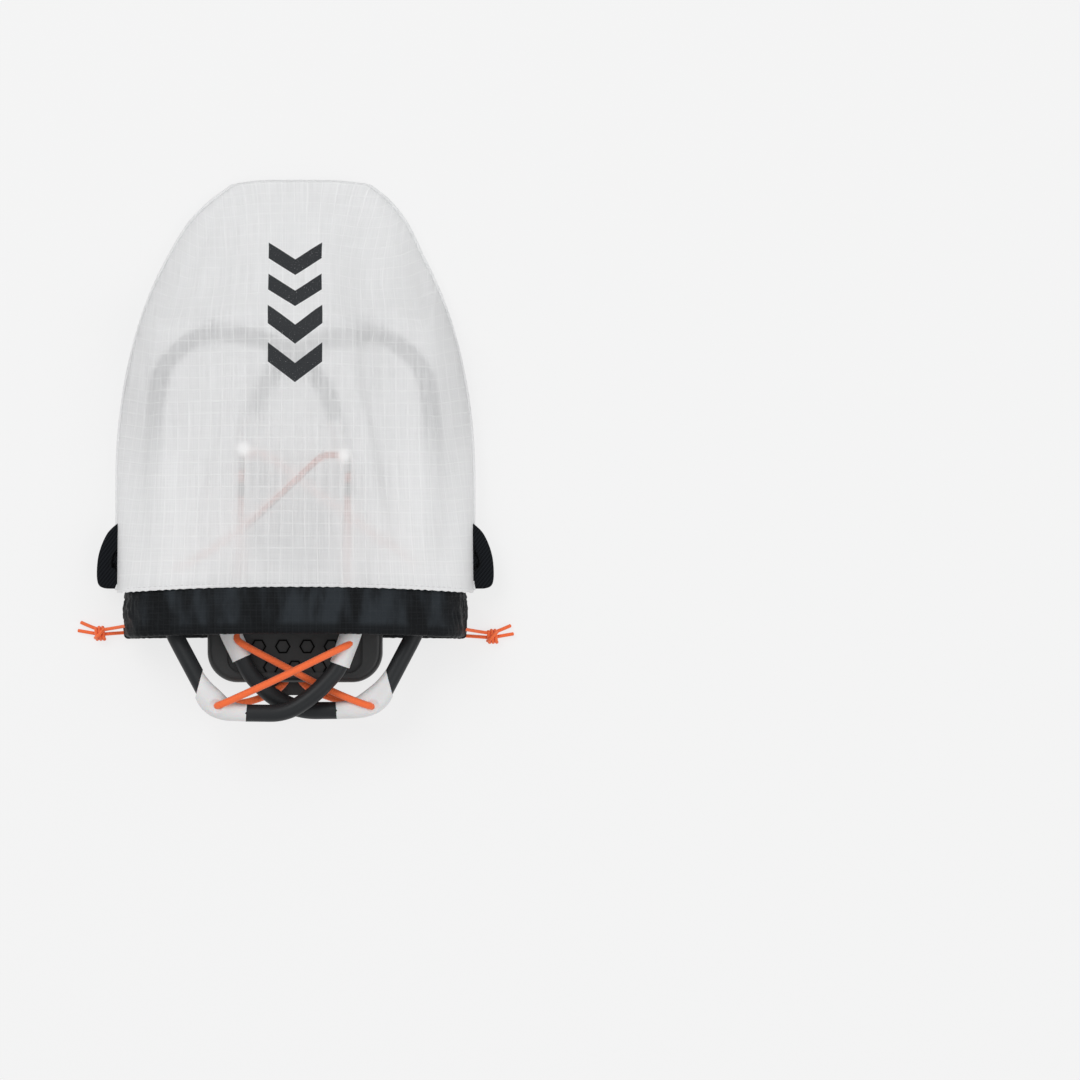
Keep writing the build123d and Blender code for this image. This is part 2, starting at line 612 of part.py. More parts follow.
def bracket():
    """A yoke that carries the lamp on its pin and rides on the two straight laces."""
    yoke = block(-EAR_OUT, EAR_OUT, -5.4, -2.4, 7.0, 16.5)
    for sign in (-1, 1):
        x0, x1 = sorted((sign * EAR_IN, sign * EAR_OUT))
        ear = block(x0, x1, -16.5, -2.4, 7.0, 16.5)
        yoke += fillet(ear.edges().filter_by(Axis.X).group_by(Axis.Y)[0], 3.5)
    yoke -= rod(TILT_PIN_D / 2, 60, (0, TILT_Y, TILT_Z), "X")
    write("lamp_bracket", yoke)
    pins = [rod(TILT_PIN_D / 2, 5.2, (s * 18.7, TILT_Y, TILT_Z), "X") for s in (-1, 1)]
    write("tilt_pins", Compound(children=pins))
    for side, sign, lace_z in (("left", -1, LOWER_Z), ("right", 1, UPPER_Z)):
        x0, x1 = sorted((sign * (EAR_OUT + 0.02), sign * (LACE_X + 2.9)))
        post = block(x0, x1, -19.0, -13.5, 9.0, lace_z + 3.0)
        post = fillet(post.edges().filter_by(Axis.Y).group_by(Axis.Z)[-1], 1.8)
        eye = rod(LACE_D / 2 + 0.2, 20, (sign * (LACE_X - 0.1), -16, lace_z - 0.05), "Y")
        write(f"lace_guide_{side}", post - eye)


def lamp_cable():
    route = [
        (29.0, CASE_HIGH_Y + 0.06, 11.5),
        (29.0, -50.0, 11.6),
        (29.8, -36.0, 11.9),
        (29.2, -20.0, 12.0),
        (27.8, -9.0, 12.0),
        (24.6, -4.3, 11.9),
        (EAR_OUT + 0.06, -3.9, 11.8),
    ]
    write("lamp_cable", tube(route, 2.6, label="lamp_cable"))


os.makedirs("parts", exist_ok=True)
pouch_panels()
hem_and_cords()
left_hole = headband_ring("left", LEFT_ARCH, LEFT_ELBOW, LEFT_CROSS, LEFT_LACE,
                          (-33.5, -108.5), 7.3)
right_hole = headband_ring("right", RIGHT_ARCH, RIGHT_ELBOW, RIGHT_CROSS, RIGHT_LACE,
                           (33.6, -108.4), 3.4)
lace_lock()
battery_case([left_hole, right_hole])
port_flap()
lamp()
bracket()
lamp_cable()
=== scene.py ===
"""Looks for a folded head-lamp in its translucent drawcord pouch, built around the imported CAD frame."""

import json
import math

import bmesh
import bpy
import numpy as np
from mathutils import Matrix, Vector, noise
from mathutils.bvhtree import BVHTree


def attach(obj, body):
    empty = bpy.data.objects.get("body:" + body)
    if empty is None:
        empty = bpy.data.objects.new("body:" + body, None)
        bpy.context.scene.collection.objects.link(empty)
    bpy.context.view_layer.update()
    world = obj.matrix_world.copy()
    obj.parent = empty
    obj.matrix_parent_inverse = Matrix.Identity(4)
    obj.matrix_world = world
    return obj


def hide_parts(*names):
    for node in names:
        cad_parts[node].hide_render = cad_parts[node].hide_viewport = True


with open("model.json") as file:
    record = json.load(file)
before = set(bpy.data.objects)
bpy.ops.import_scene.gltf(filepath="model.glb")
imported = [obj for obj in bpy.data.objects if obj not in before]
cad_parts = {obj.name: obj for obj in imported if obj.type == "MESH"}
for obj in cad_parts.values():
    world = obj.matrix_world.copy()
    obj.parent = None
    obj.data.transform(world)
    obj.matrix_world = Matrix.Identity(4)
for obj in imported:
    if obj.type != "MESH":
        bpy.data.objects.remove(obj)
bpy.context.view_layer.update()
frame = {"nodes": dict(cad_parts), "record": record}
NODES = frame["nodes"]
MM = 0.001

# The pouch's outline in millimetres, as the CAD panels have it
HALF_WIDTH = 76.5
SHOULDER_Y = -12.0
CURVE_LENGTH = 136.2
CLOTH_LOW_Y = -59.5
END_Y = 116.0
SEAM_Z_MOUTH = 11.0
SEAM_Z_END = 2.0
HEM_HALF_WIDTH = 74.8
HEM_DEPTH = 21.0
HEM_DRAWN_IN = 0.979


# ---------------- camera, light, floor

def add_object(name, data):
    made = bpy.data.objects.new(name, data)
    bpy.context.scene.collection.objects.link(made)
    return made


def make_camera():
    data = bpy.data.cameras.new("camera")
    data.sensor_width = 36.0
    data.lens = 387.6
    camera = add_object("camera", data)
    camera.location = (0.105, -0.038, 5.0)
    bpy.context.scene.camera = camera


def area_light(name, place, power):
    """A square soft light that points at the origin."""
    data = bpy.data.lights.new(name, "AREA")
    data.size = 1.8
    data.energy = power
    lamp = add_object(name, data)
    lamp.location = place
    lamp.rotation_euler = (-Vector(place)).to_track_quat("-Z", "Y").to_euler()


def make_light():
    world = bpy.data.worlds.new("studio")
    world.use_nodes = True
    background = world.node_tree.nodes["Background"]
    background.inputs["Color"].default_value = (0.96, 0.965, 0.97, 1)
    background.inputs["Strength"].default_value = 0.65
    bpy.context.scene.world = world
    area_light("key", (-1.3, 1.5, 2.6), 36.0)
    area_light("fill", (1.7, -0.6, 2.2), 17.0)
    bpy.context.scene.view_settings.view_transform = "Standard"


def make_floor():
    mesh = bpy.data.meshes.new("floor")
    reach = 14.0
    corners = [(x, y, -0.0006) for x, y in ((-reach, -reach), (reach, -reach), (reach, reach),
                                            (-reach, reach))]
    mesh.from_pydata(corners, [], [(0, 1, 2, 3)])
    floor = add_object("floor", mesh)
    g = Graph("floor_paper", roughness=0.95, specular=0.1)
    g.colour(g.blend(g.noise(3.0, 2.0), (0.885, 0.885, 0.885), (0.895, 0.895, 0.895)))
    lit = g.node("Emission", {"Color": (0.905, 0.905, 0.905)})
    g.surface(g.mixed(0.82, g.shader.outputs[0], lit.outputs[0]))
    mesh.materials.append(g.mat)


# ---------------- material graphs

SOCKETS = {
    "roughness": "Roughness", "specular": "Specular IOR Level", "metallic": "Metallic",
    "sheen": "Sheen Weight", "sheen_roughness": "Sheen Roughness", "coat": "Coat Weight",
    "coat_roughness": "Coat Roughness", "subsurface": "Subsurface Weight",
    "subsurface_scale": "Subsurface Scale", "transmission": "Transmission Weight", "ior": "IOR",
}


class Graph:
    """A short way to write the node graph of one material."""

    def __init__(self, name, **values):
        self.mat = bpy.data.materials.new(name)
        self.mat.use_nodes = True
        self.tree = self.mat.node_tree
        self.shader = self.tree.nodes["Principled BSDF"]
        self.output = self.tree.nodes["Material Output"]
        for key, value in values.items():
            self.shader.inputs[SOCKETS[key]].default_value = value
        self.places = self.tree.nodes.new("ShaderNodeTexCoord")

    def put(self, socket, value):
        if isinstance(value, bpy.types.NodeSocket):
            self.tree.links.new(value, socket)
        elif isinstance(value, tuple) and len(value) == 3 and socket.type == "RGBA":
            socket.default_value = (*value, 1)
        else:
            socket.default_value = value

    def node(self, kind, inputs):
        """A new node with these values or links in its sockets."""
        made = self.tree.nodes.new(f"ShaderNode{kind}")
        for name, value in inputs.items():
            self.put(made.inputs[name], value)
        return made

    def at(self, scale=(1, 1, 1), turn=0.0, flat=False):
        """Where a point is, in metres: in space, or in the plane of the flat cloth."""
        place = self.places.outputs["UV" if flat else "Object"]
        made = self.node("Mapping", {"Vector": place, "Scale": scale, "Rotation": (0, 0, turn)})
        return made.outputs["Vector"]

    def axis(self, vector, letter):
        return self.node("SeparateXYZ", {0: vector}).outputs[letter]

    def math(self, operation, *values):
        made = self.node("Math", dict(enumerate(values)))
        made.operation = operation
        return made.outputs[0]

    def times(self, a, b):
        return self.math("MULTIPLY", a, b)

    def scaled(self, value, factor, offset):
        return self.math("MULTIPLY_ADD", value, factor, offset)

    def invert(self, value):
        """1 where the value is 0, and 0 where it is 1."""
        return self.math("SUBTRACT", 1.0, value)

    def smooth(self, value, start, end):
        """0 before start, 1 after end, and smooth between."""
        made = self.node("MapRange", {"Value": value, "From Min": start, "From Max": end})
        made.interpolation_type = "SMOOTHSTEP"
        return made.outputs["Result"]

    def noise(self, scale, detail=3.0, vector=None):
        place = vector or self.places.outputs["Object"]
        return self.node("TexNoise", {"Vector": place, "Scale": scale, "Detail": detail}).outputs[0]

    def cells(self, scale):
        place = self.places.outputs["Object"]
        return self.node("TexVoronoi", {"Vector": place, "Scale": scale}).outputs["Distance"]

    def wave(self, coordinate, pitch):
        """A sine from 0 to 1 along one coordinate."""
        turned = self.times(coordinate, 2 * math.pi / pitch)
        return self.scaled(self.math("SINE", turned), 0.5, 0.5)

    def lines(self, coordinate, pitch, width, edge):
        """1 on lines that repeat at a pitch, 0 between them."""
        middle = self.math("PINGPONG", coordinate, pitch / 2)
        return self.invert(self.smooth(middle, width / 2, width / 2 + edge))

    def blend(self, factor, a, b):
        """Colour a where the factor is 0 and b where it is 1, by the sockets of the mix node's colours."""
        made = self.node("Mix", {})
        made.data_type = "RGBA"
        for socket, value in ((0, factor), (6, a), (7, b)):
            self.put(made.inputs[socket], value)
        return made.outputs[2]

    def colour(self, value):
        self.put(self.shader.inputs["Base Color"], value)

    def rough(self, factor, low, high):
        span = self.scaled(factor, high - low, low)
        self.put(self.shader.inputs["Roughness"], span)

    def bump(self, height, depth, strength=1.0):
        made = self.node("Bump", {"Strength": strength, "Distance": depth, "Height": height})
        self.put(self.shader.inputs["Normal"], made.outputs["Normal"])
        return made.outputs["Normal"]

    def mixed(self, factor, first, second):
        return self.node("MixShader", {0: factor, 1: first, 2: second}).outputs[0]

    def surface(self, shader):
        self.tree.links.new(shader, self.output.inputs["Surface"])


def ripstop_grid(g, pitch, width, edge):
    """The thicker threads of a ripstop cloth, along and across it, from its flat coordinates."""
    place = g.at(flat=True)
    wobble = g.noise(60.0, 2.0, place)
    across = g.scaled(wobble, 0.0009, g.axis(place, "X"))
    along = g.scaled(wobble, 0.0007, g.axis(place, "Y"))
    return g.lines(across, pitch, width, edge), g.lines(along, pitch, width, edge)


def pouch_cloth(printed=False):
    name = "ripstop_cloth_printed" if printed else "ripstop_cloth"
    g = Graph(name, roughness=0.5, specular=0.25, sheen=0.12, sheen_roughness=0.4)
    uprights, rungs = ripstop_grid(g, 0.0053, 0.0001, 0.00034)
    grid = g.math("MAXIMUM", uprights, g.times(rungs, 0.85))
    patchy = g.smooth(g.noise(190.0, 2.0, g.at(flat=True)), 0.25, 0.7)
    threads = g.times(grid, g.scaled(patchy, 0.5, 0.35))
    warp = g.noise(1.0, 2.0, g.at((1900, 45, 1), flat=True))
    weft = g.noise(1.0, 2.0, g.at((60, 1900, 1), flat=True))
    streaks = g.scaled(warp, 0.7, g.times(weft, 0.3))
    streaks = g.smooth(streaks, 0.3, 0.7)
    body = g.blend(streaks, (0.88, 0.883, 0.886), (0.945, 0.948, 0.951))
    tone = g.blend(threads, body, (0.985, 0.986, 0.988))
    thin = g.scaled(streaks, -0.17, 0.36)
    see_through = g.times(thin, g.scaled(threads, -0.6, 1.0))
    # Painted highlight: the cloth is whitened, and shows less of what is behind it, where the headband's
    # upper corners press on it.
    highlight_paint = painted_corner_highlights(g)
    tone = g.blend(highlight_paint, tone, (0.99, 0.99, 0.99))
    see_through = g.times(see_through, g.scaled(highlight_paint, -0.9, 1.0))
    see_through = g.times(see_through, g.scaled(low_down(g), -0.74, 1.0))
    glow = 0.16
    if printed:
        ink = chevrons(g)
        tone = g.blend(ink, tone, (0.022, 0.024, 0.027))
        see_through = g.times(see_through, g.invert(ink))
        glow = g.times(g.invert(ink), glow)
    g.colour(tone)
    relief = g.scaled(threads, 1.0, g.times(streaks, 0.5))
    normal = g.bump(relief, 0.00012, 0.7)
    behind = g.node("BsdfTranslucent", {"Color": tone, "Normal": normal})
    clear = g.node("BsdfTransparent", {})
    haze = g.node("BsdfRefraction", {"Roughness": 0.72, "IOR": 1.42})
    close = lace_contact(g)
    through = g.mixed(g.scaled(close, 0.62, 0.06), haze.outputs[0], clear.outputs[0])
    see_through = g.times(see_through, g.scaled(close, 0.8, 1.0))
    cloth = g.mixed(glow, g.shader.outputs[0], behind.outputs[0])
    g.surface(g.mixed(see_through, cloth, through))
    return g.mat


def low_down(g):
    """High near the mouth, and most at the sides, where the cloth hangs clear of the unit."""
    place = g.at()
    outward = g.smooth(g.math("ABSOLUTE", g.axis(place, "X")), 0.036, 0.054)
    toward_end = g.smooth(g.axis(place, "Y"), -0.022, 0.030)
    return g.times(g.scaled(outward, 0.52, 0.48), g.invert(toward_end))


def band(g, distance, near, far):
    """1 within near of a line, fading to 0 at far."""
    return g.invert(g.smooth(g.math("ABSOLUTE", distance), near, far))


def between(g, value, low, low_full, high_full, high):
    """1 from low_full to high_full, fading to 0 at low and at high."""
    return g.times(g.smooth(value, low, low_full), g.invert(g.smooth(value, high_full, high)))


def lace_contact(g):
    """1 where the orange lace lies close under the cloth and so shows most clearly."""
    place = g.at()
    x, y = g.axis(place, "X"), g.axis(place, "Y")
    from_slant = g.math("ADD", g.scaled(x, -0.95, y), 0.0134)
    slant = g.times(band(g, from_slant, 0.0012, 0.0027),
                    between(g, x, -0.030, -0.002, 0.0120, 0.0142))
    from_bend = g.math("ADD", y, 0.0018)
    bend = g.times(band(g, from_bend, 0.0009, 0.0019),
                   between(g, x, 0.0118, 0.0136, 0.0186, 0.0202))
    from_middle = g.math("ABSOLUTE", g.math("SUBTRACT", x, 0.0003))
    upright = g.times(band(g, g.math("SUBTRACT", from_middle, 0.02265), 0.0009, 0.0020),
                      between(g, y, -0.046, -0.012, -0.004, 0.0))
    return g.math("MAXIMUM", g.math("MAXIMUM", slant, bend), upright)


def painted_corner_highlights(g):
    """1 at the painted highlights where the two upper corners of the headband press against the cloth."""
    place = g.at()
    across = g.math("SUBTRACT", g.math("ABSOLUTE", g.axis(place, "X")), 0.0213)
    level = g.scaled(g.axis(place, "X"), 0.07, g.axis(place, "Y"))
    along = g.math("ADD", level, 0.0005)
    square = g.math("ADD", g.times(across, across), g.times(along, along))
    return g.invert(g.smooth(g.math("SQRT", square), 0.0003, 0.0048))


def chevrons(g):
    """Four plain printed chevrons that point to the mouth, 1 where there is ink."""
    count, start, pitch, soft = 4, 0.0245, 0.0165, 0.0001
    place = g.at(flat=True)
    across = g.math("ABSOLUTE", g.axis(place, "X"))
    slanted = g.scaled(across, -0.75, g.axis(place, "Y"))
    step = g.math("SUBTRACT", slanted, start)
    stripe = g.smooth(g.math("PINGPONG", step, pitch / 2), 0.0040, 0.0042)
    inside = between(g, step, 0.0, soft, count * pitch - soft, count * pitch)
    narrow = g.invert(g.smooth(across, 0.0118, 0.0120))
    worn = g.smooth(g.noise(2600.0, 3.0, place), 0.22, 0.34)
    return g.times(g.times(stripe, inside), g.times(narrow, worn))


def hem_cloth():
    g = Graph("hem_cloth", specular=0.09, sheen=0.02, sheen_roughness=0.35)
    uprights, rungs = ripstop_grid(g, 0.0026, 0.0001, 0.0002)
    threads = g.math("MAXIMUM", uprights, rungs)
    place = g.at(flat=True)
    weave = g.times(g.wave(g.axis(place, "X"), 0.00062), g.wave(g.axis(place, "Y"), 0.00062))
    cloudy = g.noise(1.0, 4.0, g.at((88, 26, 1), flat=True))
    # Painted shade: the lighter clouds give way to dark at the hem's ends and along its fold.
    at_end = g.smooth(g.math("ABSOLUTE", g.axis(place, "X")), 0.064, 0.078)
    at_fold = g.invert(g.smooth(g.axis(place, "Y"), -0.0182, -0.0150))
    shade = g.math("MAXIMUM", at_end, at_fold)
    cloudy_with_painted_shade = g.times(g.smooth(cloudy, 0.38, 0.64), g.scaled(shade, -0.85, 1.0))
    dark = g.blend(cloudy_with_painted_shade, (0.003, 0.0035, 0.004), (0.024, 0.029, 0.034))
    woven = g.blend(g.times(weave, 0.3), dark, (0.040, 0.045, 0.052))
    g.colour(g.blend(g.times(threads, 0.09), woven, (0.065, 0.07, 0.075)))
    g.rough(cloudy, 0.40, 0.62)
    g.bump(g.math("ADD", weave, g.times(threads, 0.8)), 0.00012, 0.8)
    return g.mat


def twill():
    g = Graph("twill_webbing", specular=0.05, sheen=0.02, sheen_roughness=0.5)
    place = g.at(turn=math.radians(38))
    rib = g.wave(g.axis(place, "X"), 0.00125)
    thread = g.wave(g.axis(place, "Y"), 0.0007)
    weave = g.scaled(thread, 0.3, g.times(rib, 0.7))
    g.colour(g.blend(weave, (0.003, 0.0035, 0.0045), (0.014, 0.016, 0.019)))
    g.rough(g.noise(300.0), 0.6, 0.85)
    g.bump(weave, 0.00025, 0.9)
    return g.mat


def clouds(scale, detail=3.0):
    """A pattern of soft clouds, or of grains where the scale is large."""
    return lambda g: g.noise(scale, detail)


def patterned(name, pattern, low, high, rough=None, depth=0.0, strength=0.5, grain=None, **values):
    """A material whose colour and roughness follow one pattern, with bumps of it or of a finer grain."""
    g = Graph(name, **values)
    shade = pattern(g)
    g.colour(g.blend(shade, low, high))
    if rough:
        g.rough(shade, *rough)
    if depth:
        g.bump(grain(g) if grain else shade, depth, strength)
    return g.mat


def cord_yarn(name, low, high, scale):
    return patterned(name, clouds(scale, 4.0), low, high, (0.5, 0.75), 0.00008,
                     specular=0.3, sheen=0.25, sheen_roughness=0.5)


def band_rubber():
    return patterned("band_rubber", clouds(40.0), (0.014, 0.0155, 0.017), (0.024, 0.026, 0.028),
                     (0.36, 0.52), 0.00006, grain=clouds(1800.0, 4.0), specular=0.22)


def white_mould():
    g = Graph("white_moulding", specular=0.4, subsurface=0.12, subsurface_scale=0.002)
    cloud = g.noise(90.0, 4.0)
    g.colour(g.blend(cloud, (0.66, 0.655, 0.655), (0.78, 0.775, 0.775)))
    g.rough(g.noise(500.0), 0.36, 0.52)
    g.bump(g.noise(1500.0, 3.0), 0.00003, 0.4)
    return g.mat


def spark_plastic(name, low, high, rough=(0.42, 0.6), scale=2600.0, depth=0.00005):
    """Moulded plastic with a fine eroded grain."""
    return patterned(name, clouds(55.0, 4.0), low, high, rough, depth, 0.7,
                     grain=clouds(scale, 4.0), specular=0.42)


def case_plastic():
    """The case: grained black plastic, with its raised hexagon rims painted a deeper black as painted
    shade of the hexagon lines.
    """
    g = Graph("case_plastic", specular=0.42)
    place = g.at()
    height = g.axis(place, "Z")
    raised = between(g, height, 0.01690, 0.01700, 0.0176, 0.0178)
    across = g.math("ABSOLUTE", g.axis(place, "X"))
    panel = g.times(g.smooth(g.axis(place, "Y"), -0.0948, -0.0946),
                    g.invert(g.smooth(across, 0.0287, 0.0289)))
    painted_shade_rims = g.times(raised, panel)
    cloud = g.noise(55.0, 4.0)
    shell = g.blend(cloud, (0.022, 0.0225, 0.023), (0.036, 0.037, 0.038))
    # Painted shade: the raised hexagon rims are coloured near black, to stand for shaded lines round each
    # hexagon.
    g.colour(g.blend(painted_shade_rims, shell, (0.002, 0.002, 0.002)))
    g.put(g.shader.inputs["Specular IOR Level"], g.scaled(painted_shade_rims, -0.38, 0.42))
    g.rough(cloud, 0.3, 0.46)
    g.bump(g.noise(2600.0, 3.0), 0.00004, 0.5)
    return g.mat


def brushed_steel():
    return patterned("brushed_steel", lambda g: g.noise(1.0, 3.0, g.at((300, 300, 9000))),
                     (0.42, 0.42, 0.43), (0.66, 0.66, 0.67), (0.25, 0.42), 0.00001, 0.4, metallic=1.0)


def circuit_board():
    return patterned("circuit_board", lambda g: g.smooth(g.cells(420.0), 0.24, 0.27),
                     (0.02, 0.17, 0.06), (0.01, 0.085, 0.035), (0.3, 0.42), 0.00003,
                     specular=0.5, coat=0.3)


def cell_sleeve():
    return patterned("cell_sleeve", clouds(160.0, 2.0), (0.03, 0.06, 0.15), (0.06, 0.11, 0.24),
                     (0.22, 0.35), 0.00005, 0.4, specular=0.5, coat=0.35, coat_roughness=0.2)


def lens_plastic():
    return patterned("lens_plastic", clouds(120.0), (0.93, 0.945, 0.95), (0.98, 0.985, 0.985),
                     None, 0.00002, 0.2, roughness=0.06, transmission=0.9, ior=1.49)


def mirror_metal():
    return patterned("mirror_metal", lambda g: g.cells(900.0), (0.72, 0.72, 0.74),
                     (0.86, 0.86, 0.88), (0.08, 0.2), 0.00002, metallic=1.0)


def phosphor():
    return patterned("phosphor", clouds(3000.0, 2.0), (0.80, 0.58, 0.07), (0.88, 0.70, 0.16),
                     (0.35, 0.5), specular=0.5, subsurface=0.1, subsurface_scale=0.001)


def make_materials():
    return {
        "pouch_cloth": pouch_cloth(),
        "pouch_print": pouch_cloth(printed=True),
        "hem_cloth": hem_cloth(),
        "webbing": twill(),
        "orange_cord": cord_yarn("orange_cord", (0.80, 0.105, 0.020), (1.0, 0.20, 0.055), 2400.0),
        "white_thread": cord_yarn("white_thread", (0.70, 0.70, 0.70), (0.86, 0.86, 0.86), 4000.0),
        "band_tube": band_rubber(),
        "white_plastic": white_mould(),
        "black_plastic": spark_plastic("black_plastic", (0.018, 0.018, 0.019), (0.034, 0.034, 0.036)),
        "grey_plastic": spark_plastic("grey_plastic", (0.20, 0.21, 0.22), (0.30, 0.31, 0.32)),
        "case_plastic": case_plastic(),
        "steel": brushed_steel(),
        "cell_wrap": cell_sleeve(),
        "board": circuit_board(),
        "black_rubber": spark_plastic("soft_rubber", (0.016, 0.016, 0.017), (0.03, 0.03, 0.032),
                                      (0.62, 0.8), 1500.0, 0.00006),
        "clear_lens": lens_plastic(),
        "reflector": mirror_metal(),
        "led": phosphor(),
    }


# ---------------- mesh helpers

def new_object(name, verts, faces, mats, slot, look=None):
    """A new mesh with its slot's material, or with another look of the same slot."""
    mesh = bpy.data.meshes.new(name)
    mesh.from_pydata([tuple(v) for v in verts], [], faces)
    mesh.validate()
    mesh.update()
    mesh.shade_smooth()
    mesh.materials.append(mats[look or slot])
    obj = add_object(name, mesh)
    return obj


def grid_faces(rows, columns, wrap_rows=False, wrap_columns=False, start=0):
    faces = []
    for r in range(rows if wrap_rows else rows - 1):
        for c in range(columns if wrap_columns else columns - 1):
            here, above = start + r * columns, start + (r + 1) % rows * columns
            after = (c + 1) % columns
            faces.append((here + c, here + after, above + after, above + c))
    return faces


def tube_faces(rings, sides, start=0):
    """The faces of a tube whose rings follow each other, closed at both ends."""
    last = start + (rings - 1) * sides
    faces = grid_faces(rings, sides, wrap_columns=True, start=start)
    return faces + [tuple(range(start, start + sides))[::-1], tuple(range(last, last + sides))]


def ring_angles(sides):
    return np.arange(sides) * 2 * math.pi / sides


def set_flat(mesh, flat):
    """Writes each vertex's place in the flat cloth, in metres, as the mesh's UV."""
    layer = mesh.uv_layers.new(name="UVMap")
    corners = np.zeros(len(mesh.loops), int)
    mesh.loops.foreach_get("vertex_index", corners)
    layer.data.foreach_set("uv", np.asarray(flat, np.float32)[corners].ravel())


def nurbs_curve(name, points):
    """A curve of one smooth spline with these control points, given in millimetres."""
    data = bpy.data.curves.new(name, "CURVE")
    data.dimensions = "3D"
    data.resolution_u = 16
    spline = data.splines.new("NURBS")
    spline.points.add(len(points) - 1)
    for point, place in zip(spline.points, points):
        point.co = (place[0] * MM, place[1] * MM, place[2] * MM, 1.0)
    spline.order_u = 3
    spline.use_endpoint_u = True
    return add_object(name, data)


def even_points(line, count):
    """The same line as this many points at equal distances, and how far along it each one is."""
    lengths = np.linalg.norm(np.diff(line, axis=0), axis=1)
    run = np.concatenate([[0.0], np.cumsum(lengths)])
    marks = np.linspace(0.0, run[-1], count)
    return np.column_stack([np.interp(marks, run, line[:, k]) for k in range(3)]), marks


def even_steps(line, step):
    """The same line with its points this far from each other."""
    length = np.cumsum(np.linalg.norm(np.diff(line, axis=0), axis=1))[-1]
    return even_points(line, max(int(round(length / step)), 8) + 1)[0]


def centreline(points, step):
    """Even points read from the smooth spline of a route."""
    obj = nurbs_curve("route", points)
    bpy.context.view_layer.update()
    graph = bpy.context.evaluated_depsgraph_get()
    mesh = bpy.data.meshes.new_from_object(obj.evaluated_get(graph))
    line = np.array([v.co for v in mesh.vertices])
    bpy.data.objects.remove(obj)
    return even_steps(line, step)


def unit_rows(vectors):
    return vectors / np.linalg.norm(vectors, axis=1)[:, None]


def turning_frames(line):
    """Two directions across the line at each point, that turn as little as they can."""
    ahead = unit_rows(np.gradient(line, axis=0))
    side = np.cross(ahead[0], (0.0, 0.0, 1.0))
    if np.linalg.norm(side) < 0.1:
        side = np.cross(ahead[0], (0.0, 1.0, 0.0))
    first = []
    for direction in ahead:
        side = side - direction * np.dot(side, direction)
        side = side / np.linalg.norm(side)
        first.append(side)
    first = np.array(first)
    return first, np.cross(ahead, first)


def braided_tube(name, line, diameter, bumps, bump_length, sides, mats):
    """A round braided orange cord along a line, with rounded ends."""
    first, second = turning_frames(line)
    step = np.linalg.norm(line[1] - line[0])
    run = np.arange(len(line)) * step
    angle = ring_angles(sides)
    half = bumps / 2
    braid = np.cos(half * angle[None, :] + math.pi * run[:, None] / bump_length)
    braid = braid * np.cos(half * angle[None, :] - math.pi * run[:, None] / bump_length)
    radius = diameter / 2 * (0.975 + 0.045 * braid)
    from_end = np.minimum(run, run[::-1]) / (diameter * 0.22)
    round_off = np.sqrt(np.clip(1 - np.clip(1 - from_end, 0, 1) ** 2, 0.08, 1))
    radius = radius * round_off[:, None]
    ring = (np.cos(angle)[None, :, None] * first[:, None, :]
            + np.sin(angle)[None, :, None] * second[:, None, :])
    verts = (line[:, None, :] + radius[:, :, None] * ring).reshape(-1, 3)
    return new_object(name, verts, tube_faces(len(line), sides), mats, "orange_cord")


# ---------------- cords

DRAWCORD_LEFT = [
    (-92.6, -73.3, 0.95), (-88.0, -75.3, 1.7), (-84.0, -76.7, 3.0), (-79.0, -76.0, 5.6),
    (-71.2, -74.6, 14.0), (-68.6, -74.6, 30.3), (-42.0, -74.6, 42.8), (0.0, -72.8, 44.3),
    (42.0, -71.0, 42.8), (68.6, -71.0, 30.3), (71.2, -71.0, 11.0), (64.0, -71.4, 1.4),
    (22.0, -72.6, 1.05), (-22.0, -75.6, 1.05), (-58.0, -77.2, 1.25), (-70.0, -77.6, 2.7),
    (-78.0, -78.1, 2.9), (-84.0, -78.6, 2.2), (-89.0, -77.7, 1.3), (-93.8, -76.9, 0.9),
]
DRAWCORD_RIGHT = [
    (92.6, -74.7, 0.95), (88.0, -76.7, 1.7), (84.0, -78.1, 3.0), (79.0, -77.4, 5.6),
    (71.2, -76.0, 14.0), (67.2, -76.0, 29.3), (41.0, -76.0, 41.2), (0.0, -73.5, 42.6),
    (-41.0, -71.0, 41.2), (-67.2, -71.0, 29.3), (-70.9, -71.0, 11.0), (-62.6, -71.4, 3.1),
    (-22.0, -72.6, 2.75), (22.0, -76.3, 2.75), (58.0, -77.9, 2.95), (70.0, -79.0, 2.7),
    (78.0, -79.5, 2.9), (84.0, -80.0, 2.2), (89.0, -79.1, 1.3), (93.8, -78.3, 0.9),
]
LACE_LEFT = [
    (-54.5, -51.8, 27.2), (-46.6, -50.2, 29.8), (-25.4, -35.8, 34.2), (-3.4, -15.8, 36.8),
    (10.8, -2.2, 37.9), (19.4, -1.4, 37.2), (22.9, -4.0, 34.2), (22.9, -9.5, 32.8),
    (22.5, -40.0, 32.6), (22.9, -72.5, 32.8), (24.0, -78.6, 32.9), (24.6, -82.2, 36.0),
    (19.0, -84.6, 39.4), (-5.5, -96.6, 38.2), (-27.6, -106.7, 38.0), (-32.4, -108.7, 37.0),
    (-33.8, -109.1, 32.5), (-33.1, -108.9, 26.8), (-28.6, -108.4, 23.4), (-20.5, -107.6, 18.4),
    (-12.0, -104.8, 15.4), (-5.2, -100.6, 12.8), (-3.6, -97.6, 12.2),
]
